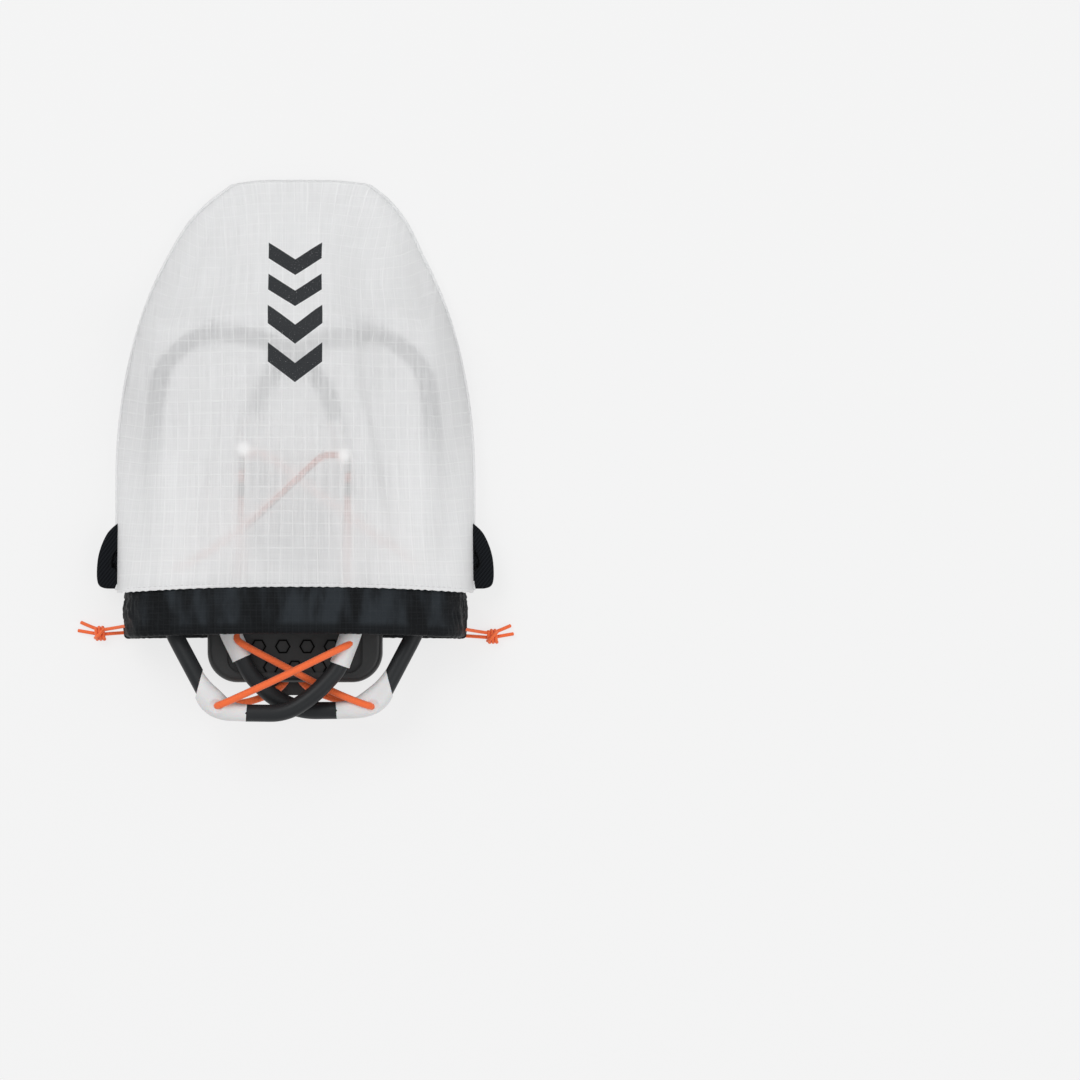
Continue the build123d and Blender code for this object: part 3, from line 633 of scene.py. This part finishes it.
LACE_RIGHT = [
    (55.0, -51.8, 24.4), (48.5, -46.5, 27.0), (25.4, -29.5, 28.2), (2.6, -12.5, 28.4),
    (-11.6, -0.9, 28.8), (-19.6, -0.8, 28.0), (-22.9, -2.6, 25.2), (-22.9, -8.5, 23.8),
    (-22.5, -40.0, 23.6), (-22.9, -69.0, 23.8), (-24.4, -75.6, 24.2), (-25.3, -80.0, 27.8),
    (-21.8, -82.9, 30.0), (-4.5, -92.0, 26.4), (13.8, -101.8, 25.6), (27.8, -107.6, 28.9),
    (32.4, -109.0, 28.2), (33.8, -109.5, 23.6), (33.0, -109.3, 18.2), (28.2, -108.6, 16.0),
    (20.5, -107.2, 14.2), (11.0, -104.2, 13.2), (3.9, -100.6, 12.6), (2.2, -97.6, 12.2),
]
LAMP_CABLE = [
    (29.0, -56.94, 11.5), (29.0, -50.0, 11.6), (29.8, -36.0, 11.9), (29.2, -20.0, 12.0),
    (27.8, -9.0, 12.0), (24.6, -4.3, 11.9), (21.26, -3.9, 11.8),
]


def wrap_knot(side, centre, mats):
    """An overhand knot in two strands: turns round them, and one strand that crosses the front."""
    turns = []
    for k in range(31):
        t = k / 30
        angle = 2 * math.pi * 2.5 * t + 0.4
        turns.append((1.9 * (2 * t - 1), 2.65 * math.cos(angle), 1.75 * math.sin(angle)))
    crossing = [(-2.2, -1.9, -0.4), (-1.7, -1.9, 1.9), (-0.2, -0.4, 3.0), (1.2, 1.2, 2.6),
                (2.1, 1.9, 0.6)]
    made = []
    for name, points in (("turns", turns), ("crossing", crossing)):
        line = centreline([np.add(centre, point) for point in points], 0.00016)
        piece = braided_tube(f"drawcord_{side}_knot_{name}", line, 0.0015, 6, 0.0006, 14, mats)
        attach(piece, "pouch")
        made.append(piece)
    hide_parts(f"drawcord_{side}_knot")
    return made


def make_cords(mats):
    ends = {"left": (DRAWCORD_LEFT, (-84.0, -78.1, 2.7)),
            "right": (DRAWCORD_RIGHT, (84.6, -79.4, 2.7))}
    for side, (route, knot_at) in ends.items():
        line = centreline(route, 0.00017)
        cord = braided_tube(f"drawcord_{side}_braid", line, 0.0015, 6, 0.0006, 14, mats)
        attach(cord, "pouch")
        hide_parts(f"drawcord_{side}")
        knot = wrap_knot(side, knot_at, mats)
    for side, route, length in (("left", LACE_LEFT, 0.283), ("right", LACE_RIGHT, 0.285)):
        line = centreline(route, 0.00024)
        lace = braided_tube(f"lace_{side}_braid", line, 0.0031, 10, 0.0011, 24, mats)
        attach(lace, "headband")
        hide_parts(f"lace_{side}")
    cable = nurbs_curve("lamp_cable_lead", LAMP_CABLE)
    cable.data.bevel_depth = 0.0013
    cable.data.bevel_resolution = 5
    cable.data.use_fill_caps = True
    cable.data.materials.append(mats["black_rubber"])
    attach(cable, "headband")
    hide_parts("lamp_cable")


# ---------------- pouch cloth

def half_width(y):
    if y <= SHOULDER_Y:
        return HALF_WIDTH
    return HALF_WIDTH * math.sqrt(max(1 - ((y - SHOULDER_Y) / CURVE_LENGTH) ** 2, 0))


def arch(x, ends, middle):
    """A low arch over the width: one level at the sides and another at the middle."""
    return middle + (ends - middle) * (np.abs(x) / 75.0) ** 2.2


def rounded_end(x, y):
    """How far the closed end's corners are drawn in, in millimetres."""
    outward = np.clip((np.abs(x) - 10.0) / 18.0, 0, 1)
    near_end = np.clip((y - 98.0) / 18.0, 0, 1)
    return 2.6 * outward ** 2 * near_end


def lean(x, y):
    """How far the closed end's corners reach out past the CAD outline, more on the right."""
    reach = np.where(np.asarray(x) > 0, 6.0, -1.6)
    near_end = np.clip((y - 82.0) / 30.0, 0, 1) ** 1.4
    return reach * np.clip(np.abs(x) / 24.0, 0, 1) ** 1.5 * near_end


def seam_height(y):
    t = (y - CLOTH_LOW_Y) / (END_Y - CLOTH_LOW_Y)
    return SEAM_Z_MOUTH + (SEAM_Z_END - SEAM_Z_MOUTH) * t


def cad_tree(node):
    mesh = NODES[node].data
    return BVHTree.FromPolygons([v.co for v in mesh.vertices], [p.vertices for p in mesh.polygons])


def outer_section(tree, y, a, seam, columns, upper):
    """Even points along the CAD panel's outer face at one station, from seam to seam, in metres."""
    points = [Vector((-a, y, seam)) * MM]
    for k in range(1, 180):
        angle = math.pi * (1 - k / 180)
        direction = Vector((math.cos(angle), 0, math.sin(angle) * (1 if upper else -1)))
        start = Vector((0, y, seam)) * MM + direction * 0.12
        hit = tree.ray_cast(start, -direction, 0.12)[0]
        if hit:
            points.append(hit)
    points.append(Vector((a, y, seam)) * MM)
    even, marks = even_points(np.array(points), columns)
    return even, marks - marks[-1] / 2


def panel_grid(node, rows, columns, upper):
    tree = cad_tree(node)
    verts = []
    flat = []
    travelled = 0.0
    previous = None
    for k in range(rows):
        y = CLOTH_LOW_Y + (END_Y - CLOTH_LOW_Y) * k / (rows - 1)
        near_hem = max(0.0, 1 - (y - CLOTH_LOW_Y) / 20.0) ** 2
        inside = min(max(y, CLOTH_LOW_Y + 0.05), END_Y - 0.05)
        section, across = outer_section(tree, inside, half_width(y), seam_height(y), columns, upper)
        wide = section[:, 0] / MM
        section[:, 0] += lean(wide, y) * MM
        section[:, 1] = (y - rounded_end(wide, y)) * MM
        if upper:
            scallop = 0.18 * np.sin(wide * 2.4 + 0.8 * np.sin(wide * 0.31))
            section[:, 1] += (arch(wide, -60.6, -57.9) - CLOTH_LOW_Y + scallop) * near_hem * MM
        middle = section[columns // 2]
        if previous is not None:
            travelled += float(np.linalg.norm(middle - previous))
        previous = middle
        verts.append(section)
        flat.append(np.column_stack([across, np.full(columns, CLOTH_LOW_Y * MM + travelled)]))
    return np.concatenate(verts), np.concatenate(flat)


def support_hull(scale):
    """What the front cloth lies on: the outline that the folded unit sweeps as it slides out."""
    profile = [(-67, 2), (-65.5, 26), (-63, 30.5), (-56, 33), (-45, 36.5), (-38, 39.4), (-29, 41.3),
               (-10, 41.7), (10, 41.7), (26, 41.3), (31, 37), (40, 32.5), (60, 30), (64, 27.5),
               (66.5, 2)]
    stations = [(-90, 1.0), (50, 1.0), (60, 0.99), (66, 0.86), (69, 0.4)]
    verts = []
    for y, share in stations:
        for x, z in profile:
            drawn_in = 1.0 if y < 40 else 1.0 - (y - 40) / 70
            verts.append((x * drawn_in * MM * scale, y * MM * scale, z * share * MM * scale))
    faces = grid_faces(len(stations), len(profile))
    mesh = bpy.data.meshes.new("support")
    mesh.from_pydata(verts, [], faces)
    return add_object("support", mesh)


DRAPE_SETTINGS = {
    "quality": 8, "mass": 0.12, "tension_stiffness": 60, "compression_stiffness": 60,
    "shear_stiffness": 12, "bending_stiffness": 0.9, "tension_damping": 25,
    "compression_damping": 25, "shear_damping": 25, "air_damping": 3.0, "shrink_min": 0.022,
}


def drape(verts, faces, held, steps):
    """Cloth simulation of the front panel over the hull, at ten times its size."""
    scale = 10.0
    mesh = bpy.data.meshes.new("drape")
    mesh.from_pydata([tuple(v) for v in verts * scale], [], faces)
    obj = add_object("drape", mesh)
    group = obj.vertex_groups.new(name="held")
    group.add(held, 1.0, "REPLACE")
    hull = support_hull(scale)
    hull.modifiers.new("Collision", "COLLISION")
    hull.collision.thickness_outer = 0.004
    hull.collision.cloth_friction = 20.0
    cloth = obj.modifiers.new("Cloth", "CLOTH")
    for setting, value in DRAPE_SETTINGS.items():
        setattr(cloth.settings, setting, value)
    cloth.settings.vertex_group_mass = "held"
    cloth.collision_settings.distance_min = 0.004
    cloth.collision_settings.use_self_collision = False
    cloth.point_cache.frame_start = 1
    cloth.point_cache.frame_end = steps
    scene = bpy.context.scene
    for step in range(1, steps + 1):
        scene.frame_set(step)
    graph = bpy.context.evaluated_depsgraph_get()
    settled = obj.evaluated_get(graph).data
    result = np.array([v.co for v in settled.vertices]) / scale
    scene.frame_set(1)
    bpy.data.objects.remove(obj)
    bpy.data.objects.remove(hull)
    return result


def relax(verts, rows, columns, passes, share=0.5):
    """Evens out a grid's small jags; the border stays."""
    grid = verts.reshape(rows, columns, 3).copy()
    for _ in range(passes):
        middle = (grid[:-2, 1:-1] + grid[2:, 1:-1] + grid[1:-1, :-2] + grid[1:-1, 2:]) / 4
        grid[1:-1, 1:-1] += share * (middle - grid[1:-1, 1:-1])
    return grid.reshape(-1, 3)


def hull_floor(x, y):
    """Height in millimetres under which the front cloth may not sag at this place."""
    xs = (-90, -76, -66, -63, -56, -45, -38, -29, -10, 10, 26, 31, 40, 60, 64, 67, 76, 90)
    zs = (0, 2, 27, 31, 33.4, 36.9, 39.7, 41.6, 42, 42, 41.6, 37.4, 33, 30.4, 28, 24, 2, 0)
    base = np.interp(x, xs, zs)
    fade = np.clip((y - 56) / 14, 0, 1)
    return base * (1 - fade) + 3.0 * fade


def make_front(mats):
    rows, columns = 130, 121
    verts, flat = panel_grid("pouch_front_panel", rows, columns, True)
    faces = grid_faces(rows, columns)
    held = [r * columns + c for r in range(rows) for c in range(columns)
            if r <= 1 or r >= rows - 2 or c <= 1 or c >= columns - 2]
    verts = drape(verts, faces, held, 46)
    x, y = verts[:, 0] / MM, verts[:, 1] / MM
    low = hull_floor(x, y) * MM
    inner = np.zeros((rows, columns), bool)
    inner[4:-3, 3:-3] = True
    lift = inner.ravel() & (verts[:, 2] < low)
    verts[lift, 2] = low[lift]
    verts = relax(verts, rows, columns, 2)
    smoother = relax(verts, rows, columns, 34)
    at_side = np.clip((np.abs(x) - 42.0) / 12.0, 0, 1)
    at_end = np.clip((y - 44.0) / 24.0, 0, 1)
    share = np.maximum(at_side, at_end)[:, None]
    verts = verts * (1 - share) + smoother * share
    cloth = new_object("pouch_front_cloth", verts, faces, mats, "pouch_cloth", "pouch_print")
    set_flat(cloth.data, flat)
    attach(cloth, "pouch")
    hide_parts("pouch_front_panel")
    return cloth, verts.reshape(rows, columns, 3)


def make_back(mats):
    rows, columns = 90, 81
    verts, flat = panel_grid("pouch_back_panel", rows, columns, False)
    for k, point in enumerate(verts):
        r, c = divmod(k, columns)
        if 1 < r < rows - 2 and 4 < c < columns - 5:
            ripple = noise.noise(Vector((point[0] * 45, point[1] * 30, 3.1)))
            point[2] += max(ripple, 0.0) * 0.0016
    faces = [f[::-1] for f in grid_faces(rows, columns)]
    cloth = new_object("pouch_back_cloth", verts, faces, mats, "pouch_cloth")
    set_flat(cloth.data, flat)
    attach(cloth, "pouch")
    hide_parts("pouch_back_panel")
    return cloth


def make_seam(mats):
    """The turned-in edge that joins the two panels, a narrow roll round the outline."""
    def on_outline(x, y, z):
        return (x + float(lean(x, y)), y - rounded_end(x, y), z)

    heights = [CLOTH_LOW_Y + (END_Y - CLOTH_LOW_Y) * k / 60 for k in range(61)]
    left = [on_outline(-half_width(y), y, seam_height(y)) for y in heights]
    end = [on_outline(x, END_Y, SEAM_Z_END) for x in np.linspace(-24, 24, 25)]
    right = [on_outline(half_width(y), y, seam_height(y)) for y in reversed(heights)]
    line = even_steps(np.array(left + end + right) * MM, 0.0009)
    first, second = turning_frames(line)
    sides = 10
    angle = ring_angles(sides)
    pucker = 1 + 0.10 * np.sin(np.arange(len(line)) * 1.9)
    ring = (np.cos(angle)[None, :, None] * first[:, None, :] * 0.00075
            + np.sin(angle)[None, :, None] * second[:, None, :] * 0.0005)
    verts = (line[:, None, :] + ring * pucker[:, None, None]).reshape(-1, 3)
    seam = new_object("pouch_side_seam", verts, tube_faces(len(line), sides), mats, "pouch_cloth")
    set_flat(seam.data, verts[:, :2])
    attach(seam, "pouch")
    return seam


# ---------------- hem

def hem_band(node, upper, mats):
    """The drawcord casing: a folded strip of black cloth, gathered a little by its stitching."""
    tree = cad_tree(node)
    columns = 300
    section, across = outer_section(tree, -70.0, HEM_HALF_WIDTH, SEAM_Z_MOUTH, columns, upper)
    tangent = unit_rows(np.gradient(section, axis=0))
    inward = np.column_stack([tangent[:, 2], np.zeros(columns), -tangent[:, 0]])
    if not upper:
        inward = -inward
    outer = [(0.00, 1.5), (0.02, 0.55), (0.05, 0.25), (0.10, 0.10), (0.14, 0.05), (0.18, 0.45),
             (0.22, 0.05)]
    outer += [(0.22 + 0.04 * k, 0.0) for k in range(1, 15)]
    outer += [(0.81, 0.0), (0.85, 0.0), (0.89, 0.02), (0.925, 0.12), (0.955, 0.35), (0.98, 0.8),
              (0.995, 1.35)]
    inner = [(1.0, 1.9), (0.995, 2.5), (0.975, 3.1), (0.94, 3.5), (0.85, 3.65), (0.7, 3.65),
             (0.55, 3.6), (0.4, 3.3), (0.25, 2.7), (0.1, 2.2), (0.0, 1.9)]
    edges = ((-59.8, -57.0), (-79.9, -77.9)) if upper else ((-60.0, -59.0), (-80.4, -80.0))
    verts = []
    flat = []
    for share, depth in outer + inner:
        is_outer = (share, depth) in outer
        for k in range(columns):
            x = section[k, 0] / MM
            top, bottom = (arch(x, *levels) for levels in edges)
            u = across[k] / MM
            ragged = 0.22 * noise.noise(Vector((u * 0.55, 2.0 if share < 0.5 else 7.0, 0)))
            y = top + (bottom - top) * share + ragged * (1 if share < 0.1 or share > 0.9 else 0.3)
            v = share * HEM_DEPTH
            gather = noise.noise(Vector((u * 0.16 + 0.5 * math.sin(v * 0.25), v * 0.045, 1.0)))
            crumple = noise.noise(Vector((u * 0.34, v * 0.22, 5.0)))
            fine = noise.noise(Vector((u * 0.95 + v * 0.2, v * 0.35, 9.0)))
            corner = np.clip((abs(u) - 62) / 26, 0, 1)
            swell = 1.1 * max(gather + 0.1, 0) + (0.5 + 1.0 * corner) * abs(crumple)
            swell += 0.25 * abs(fine)
            bay = math.sin(math.pi * min(max(share, 0), 1)) ** 0.5
            shift = depth - (swell * bay if is_outer else 0.0)
            place = section[k] + inward[k] * shift * MM
            verts.append((place[0] * HEM_DRAWN_IN, y * MM, place[2]))
            flat.append((u * MM, -v * MM))
    rows = len(outer) + len(inner)
    faces = grid_faces(rows, columns, wrap_rows=True)
    faces.append(tuple(r * columns for r in range(rows)))
    faces.append(tuple(r * columns + columns - 1 for r in range(rows))[::-1])
    verts = np.array(verts)
    if not upper:
        verts[:, 2] = np.maximum(verts[:, 2], 0.0001)
        faces = [f[::-1] for f in faces]
    casing = new_object(f"{node}_cloth", verts, faces, mats, "hem_cloth")
    set_flat(casing.data, flat)
    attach(casing, "pouch")
    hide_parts(node)
    return casing


def thread_bars(places, directions, length, radius):
    """Short threads, each a small rounded bar on the cloth."""
    verts = []
    faces = []
    sides = 6
    for place, direction in zip(places, directions):
        direction = Vector(direction).normalized()
        side = direction.cross(Vector((0.05, 0.1, 1))).normalized()
        up = side.cross(direction)
        faces += tube_faces(5, sides, len(verts))
        for t, swell, lift in ((-0.5, 0.35, -0.6), (-0.35, 0.9, 0.0), (0.0, 1.0, 0.25),
                               (0.35, 0.9, 0.0), (0.5, 0.35, -0.6)):
            middle = Vector(place) + direction * length * t + up * radius * lift
            for k in range(sides):
                angle = 2 * math.pi * k / sides
                verts.append(middle + (side * math.cos(angle) + up * math.sin(angle)) * radius * swell)
    return verts, faces


def hem_stitches(front_grid, mats):
    """White thread on the cloth's lower edge."""
    tree = BVHTree.FromPolygons([Vector(v) for v in front_grid.reshape(-1, 3)],
                                grid_faces(*front_grid.shape[:2]))
    places = []
    directions = []
    count = 62
    for k in range(count):
        x = -71.0 + 142.0 * k / (count - 1)
        y = arch(x, -60.2, -57.6) + 1.3
        hit = tree.ray_cast(Vector((x * MM, y * MM, 0.1)), Vector((0, 0, -1)))[0]
        beyond = tree.ray_cast(Vector(((x + 0.5) * MM, y * MM, 0.1)), Vector((0, 0, -1)))[0]
        if hit and beyond:
            places.append(hit + Vector((0, 0, 0.00012)))
            directions.append(beyond - hit)
    verts, faces = thread_bars(places, directions, 0.0015, 0.00018)
    row = new_object("hem_stitches", verts, faces, mats, "pouch_cloth", "white_thread")
    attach(row, "pouch")
    return row


# ---------------- side tabs

def make_tab(side, sign, mats):
    """A folded twill tab: two layers that bulge a little, with a rounded fold."""
    corners = [(75.6, -30.4), (79.6, -33.2), (82.6, -38.5), (84.6, -44.5), (85.2, -50.0),
               (85.2, -55.0), (84.3, -57.9), (81.5, -58.9), (78.5, -58.9), (75.6, -58.9)]
    line = centreline([(x, y, 0.0) for x, y in corners], 0.0005)[:, :2] / MM
    back = np.linspace(line[-1], line[0], 60)[1:-1]
    outline = np.concatenate([line, back])
    middle = np.array([76.3, -46.5])
    verts = []
    rings = [(0.3, 1.25), (0.55, 1.22), (0.72, 1.18), (0.82, 1.12), (0.90, 1.02),
             (0.95, 0.85), (0.98, 0.6), (0.995, 0.3), (1.0, 0.0)]
    levels = rings + [(share, -height) for share, height in rings[-2::-1]]

    def surface_point(x, y, height):
        wavy = 0.18 * noise.noise(Vector((x * 0.2, y * 0.2, 2.0 + sign)))
        return (sign * x * MM, y * MM, (10.2 + height + wavy) * MM)

    for share, height in levels:
        for x, y in middle + (outline - middle) * share:
            verts.append(surface_point(x, y, height))
    count = len(outline)
    faces = grid_faces(len(levels), count, wrap_columns=True)
    for ring, height in ((0, 1.25), (len(levels) - 1, -1.25)):
        verts.append(surface_point(middle[0], middle[1], height))
        centre = len(verts) - 1
        start = ring * count
        for k in range(count):
            face = (start + k, start + (k + 1) % count, centre)
            faces.append(face[::-1] if ring else face)
    if sign > 0:
        faces = [f[::-1] for f in faces]
    tab = new_object(f"side_tab_{side}_twill", verts, faces, mats, "webbing")
    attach(tab, "pouch")
    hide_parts(f"side_tab_{side}")
    return tab


# ---------------- moulded corners

def mould(node, mats):
    """A moulding with soft blends where the CAD solid has its sharp joins."""
    obj = add_object(f"{node}_moulding", NODES[node].data.copy())
    merge = obj.modifiers.new("Merge", "WELD")
    merge.merge_threshold = 0.00001
    remesh = obj.modifiers.new("Remesh", "REMESH")
    remesh.mode = "VOXEL"
    remesh.voxel_size = 0.00042
    soften = obj.modifiers.new("Soften", "SMOOTH")
    soften.factor = 0.5
    soften.iterations = 6
    bpy.context.view_layer.update()
    graph = bpy.context.evaluated_depsgraph_get()
    mesh = bpy.data.meshes.new_from_object(obj.evaluated_get(graph))
    obj.modifiers.clear()
    obj.data = mesh
    mesh.name = f"{node}_moulding"
    mesh.materials.clear()
    mesh.materials.append(mats["white_plastic"])
    mesh.shade_smooth()
    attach(obj, "headband")
    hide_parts(node)


ELBOW_ROUTES = {
    # the middle line of the moulding, where its lace hole is, and the side that it is on
    "left": ([(-45.2, -90.6, 30.0), (-42.2, -96.2, 30.9), (-38.6, -102.6, 31.8),
              (-34.6, -107.6, 32.5), (-29.6, -110.6, 32.8), (-24.6, -111.6, 32.8),
              (-20.4, -111.9, 32.8)], (-33.3, -108.8), -1),
    "right": ([(46.0, -88.4, 23.8), (42.6, -94.8, 23.8), (38.6, -101.6, 23.8),
               (34.8, -106.2, 23.8), (29.4, -109.2, 23.8), (23.8, -110.6, 23.8),
               (17.8, -110.95, 23.8)], (33.3, -109.1), 1),
}


LOWER_SLEEVES = {
    # the closed end and the open end of the white sleeve on each cross tube
    "left": ((25.4, -74.6, 32.8), (19.45, -91.4, 32.8)),
    "right": ((-28.3, -76.0, 23.8), (-22.5, -88.6, 23.8)),
}


def sleeve_moulding(side, mats):
    """A white sleeve with a round closed end and a thin lip at its open end."""
    start, end = (np.array(point) * MM for point in LOWER_SLEEVES[side])
    length = float(np.linalg.norm(end - start))
    ahead = (end - start) / length
    across = np.cross(ahead, (0.0, 0.0, 1.0))
    radius = 0.00445
    profile = [(-radius * math.cos(t), radius * math.sin(t))
               for t in np.linspace(0.02, math.pi / 2, 14)]
    profile += [(share * length, radius + 0.00012 * math.sin(share * 5.0))
                for share in np.linspace(0.05, 0.95, 19)]
    profile += [(length - 0.0003, radius), (length, radius - 0.0002), (length, 0.00372)]
    sides = 56
    angle = ring_angles(sides)
    verts = []
    for forward, wide in profile:
        centre = start + ahead * forward
        for a in angle:
            offset = across * math.cos(a) + np.array((0.0, 0.0, math.sin(a)))
            verts.append(centre + offset * wide)
    sleeve = new_object(f"lower_corner_{side}_moulding", verts, tube_faces(len(profile), sides),
                        mats, "white_plastic")
    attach(sleeve, "headband")
    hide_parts(f"lower_corner_{side}")


def trim_elbow(mesh, sign):
    """Cuts the moulding off along the plane at which the arch tube begins."""
    solid = bmesh.new()
    solid.from_mesh(mesh)
    everything = solid.verts[:] + solid.edges[:] + solid.faces[:]
    cut = bmesh.ops.bisect_plane(solid, geom=everything, dist=1e-6,
                                 plane_co=(sign * 0.03925, -0.0943, 0.03),
                                 plane_no=(sign * 0.966, 0.259, 0.0), clear_outer=True)
    rim = [e for e in cut["geom_cut"] if isinstance(e, bmesh.types.BMEdge)]
    bmesh.ops.holes_fill(solid, edges=rim, sides=0)
    bmesh.ops.recalc_face_normals(solid, faces=solid.faces[:])
    solid.to_mesh(mesh)
    solid.free()


def elbow_moulding(side, mats):
    """A white corner that swells round its lace hole and slims down to the tubes at both ends."""
    route, hole, sign = ELBOW_ROUTES[side]
    line = centreline(route, 0.00035)
    count = len(line)
    run = np.linspace(0, 1, count)
    widths = np.interp(run, (0, 0.2, 0.36, 0.5, 0.62, 0.78, 0.9, 1.0),
                       (3.45, 3.6, 4.5, 5.6, 5.5, 4.4, 3.75, 3.68))
    heights = np.interp(run, (0, 0.25, 0.5, 0.75, 1.0), (3.45, 3.6, 4.3, 4.0, 3.68))
    for _ in range(30):
        widths[1:-1] = (widths[:-2] + widths[1:-1] + widths[2:]) / 3
        heights[1:-1] = (heights[:-2] + heights[1:-1] + heights[2:]) / 3
    ahead = unit_rows(np.gradient(line, axis=0))
    across = unit_rows(np.cross(ahead, (0.0, 0.0, 1.0)))
    rise = np.cross(across, ahead)
    sides = 72
    angle = ring_angles(sides)
    square = 0.86
    cos = np.sign(np.cos(angle)) * np.abs(np.cos(angle)) ** square
    sin = np.sign(np.sin(angle)) * np.abs(np.sin(angle)) ** square
    verts = (line[:, None, :]
             + cos[None, :, None] * across[:, None, :] * widths[:, None, None] * MM
             + sin[None, :, None] * rise[:, None, :] * heights[:, None, None] * MM)
    verts = verts.reshape(-1, 3)
    from_hole = np.hypot(verts[:, 0] / MM - hole[0], verts[:, 1] / MM - hole[1])
    middle_z = line[count // 2, 2]
    above = np.where(verts[:, 2] > middle_z, 1.0, -1.0)
    dimple = 1.1 * np.clip(1 - from_hole / 2.9, 0, 1) ** 0.7
    rim = 0.28 * np.exp(-((from_hole - 3.3) / 0.8) ** 2)
    verts[:, 2] += above * (rim - dimple) * MM
    elbow = new_object(f"elbow_{side}_moulding", verts, tube_faces(count, sides), mats,
                       "white_plastic")
    trim_elbow(elbow.data, sign)
    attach(elbow, "headband")
    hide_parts(f"elbow_{side}")


def finish_cad(mats):
    """Every CAD node that still shows gets its slot's material."""
    slots = {part["node"]: part["material_slot"] for part in frame["record"]["subparts"]}
    for name, node in NODES.items():
        material = mats[slots[name]]
        for k in range(len(node.data.materials)):
            node.data.materials[k] = material
        if not node.data.materials:
            node.data.materials.append(material)


# ---------------- the whole

make_camera()
make_light()
make_floor()
materials = make_materials()
make_cords(materials)

front, front_grid = make_front(materials)
back = make_back(materials)
seam = make_seam(materials)
hem_front = hem_band("hem_front", True, materials)
hem_back = hem_band("hem_back", False, materials)
stitches = hem_stitches(front_grid, materials)
tabs = [make_tab("left", -1, materials), make_tab("right", 1, materials)]

for hand in ("left", "right"):
    elbow_moulding(hand, materials)
    sleeve_moulding(hand, materials)
    for corner in ("upper_corner", "side_eyelet"):
        mould(f"{corner}_{hand}", materials)
finish_cad(materials)
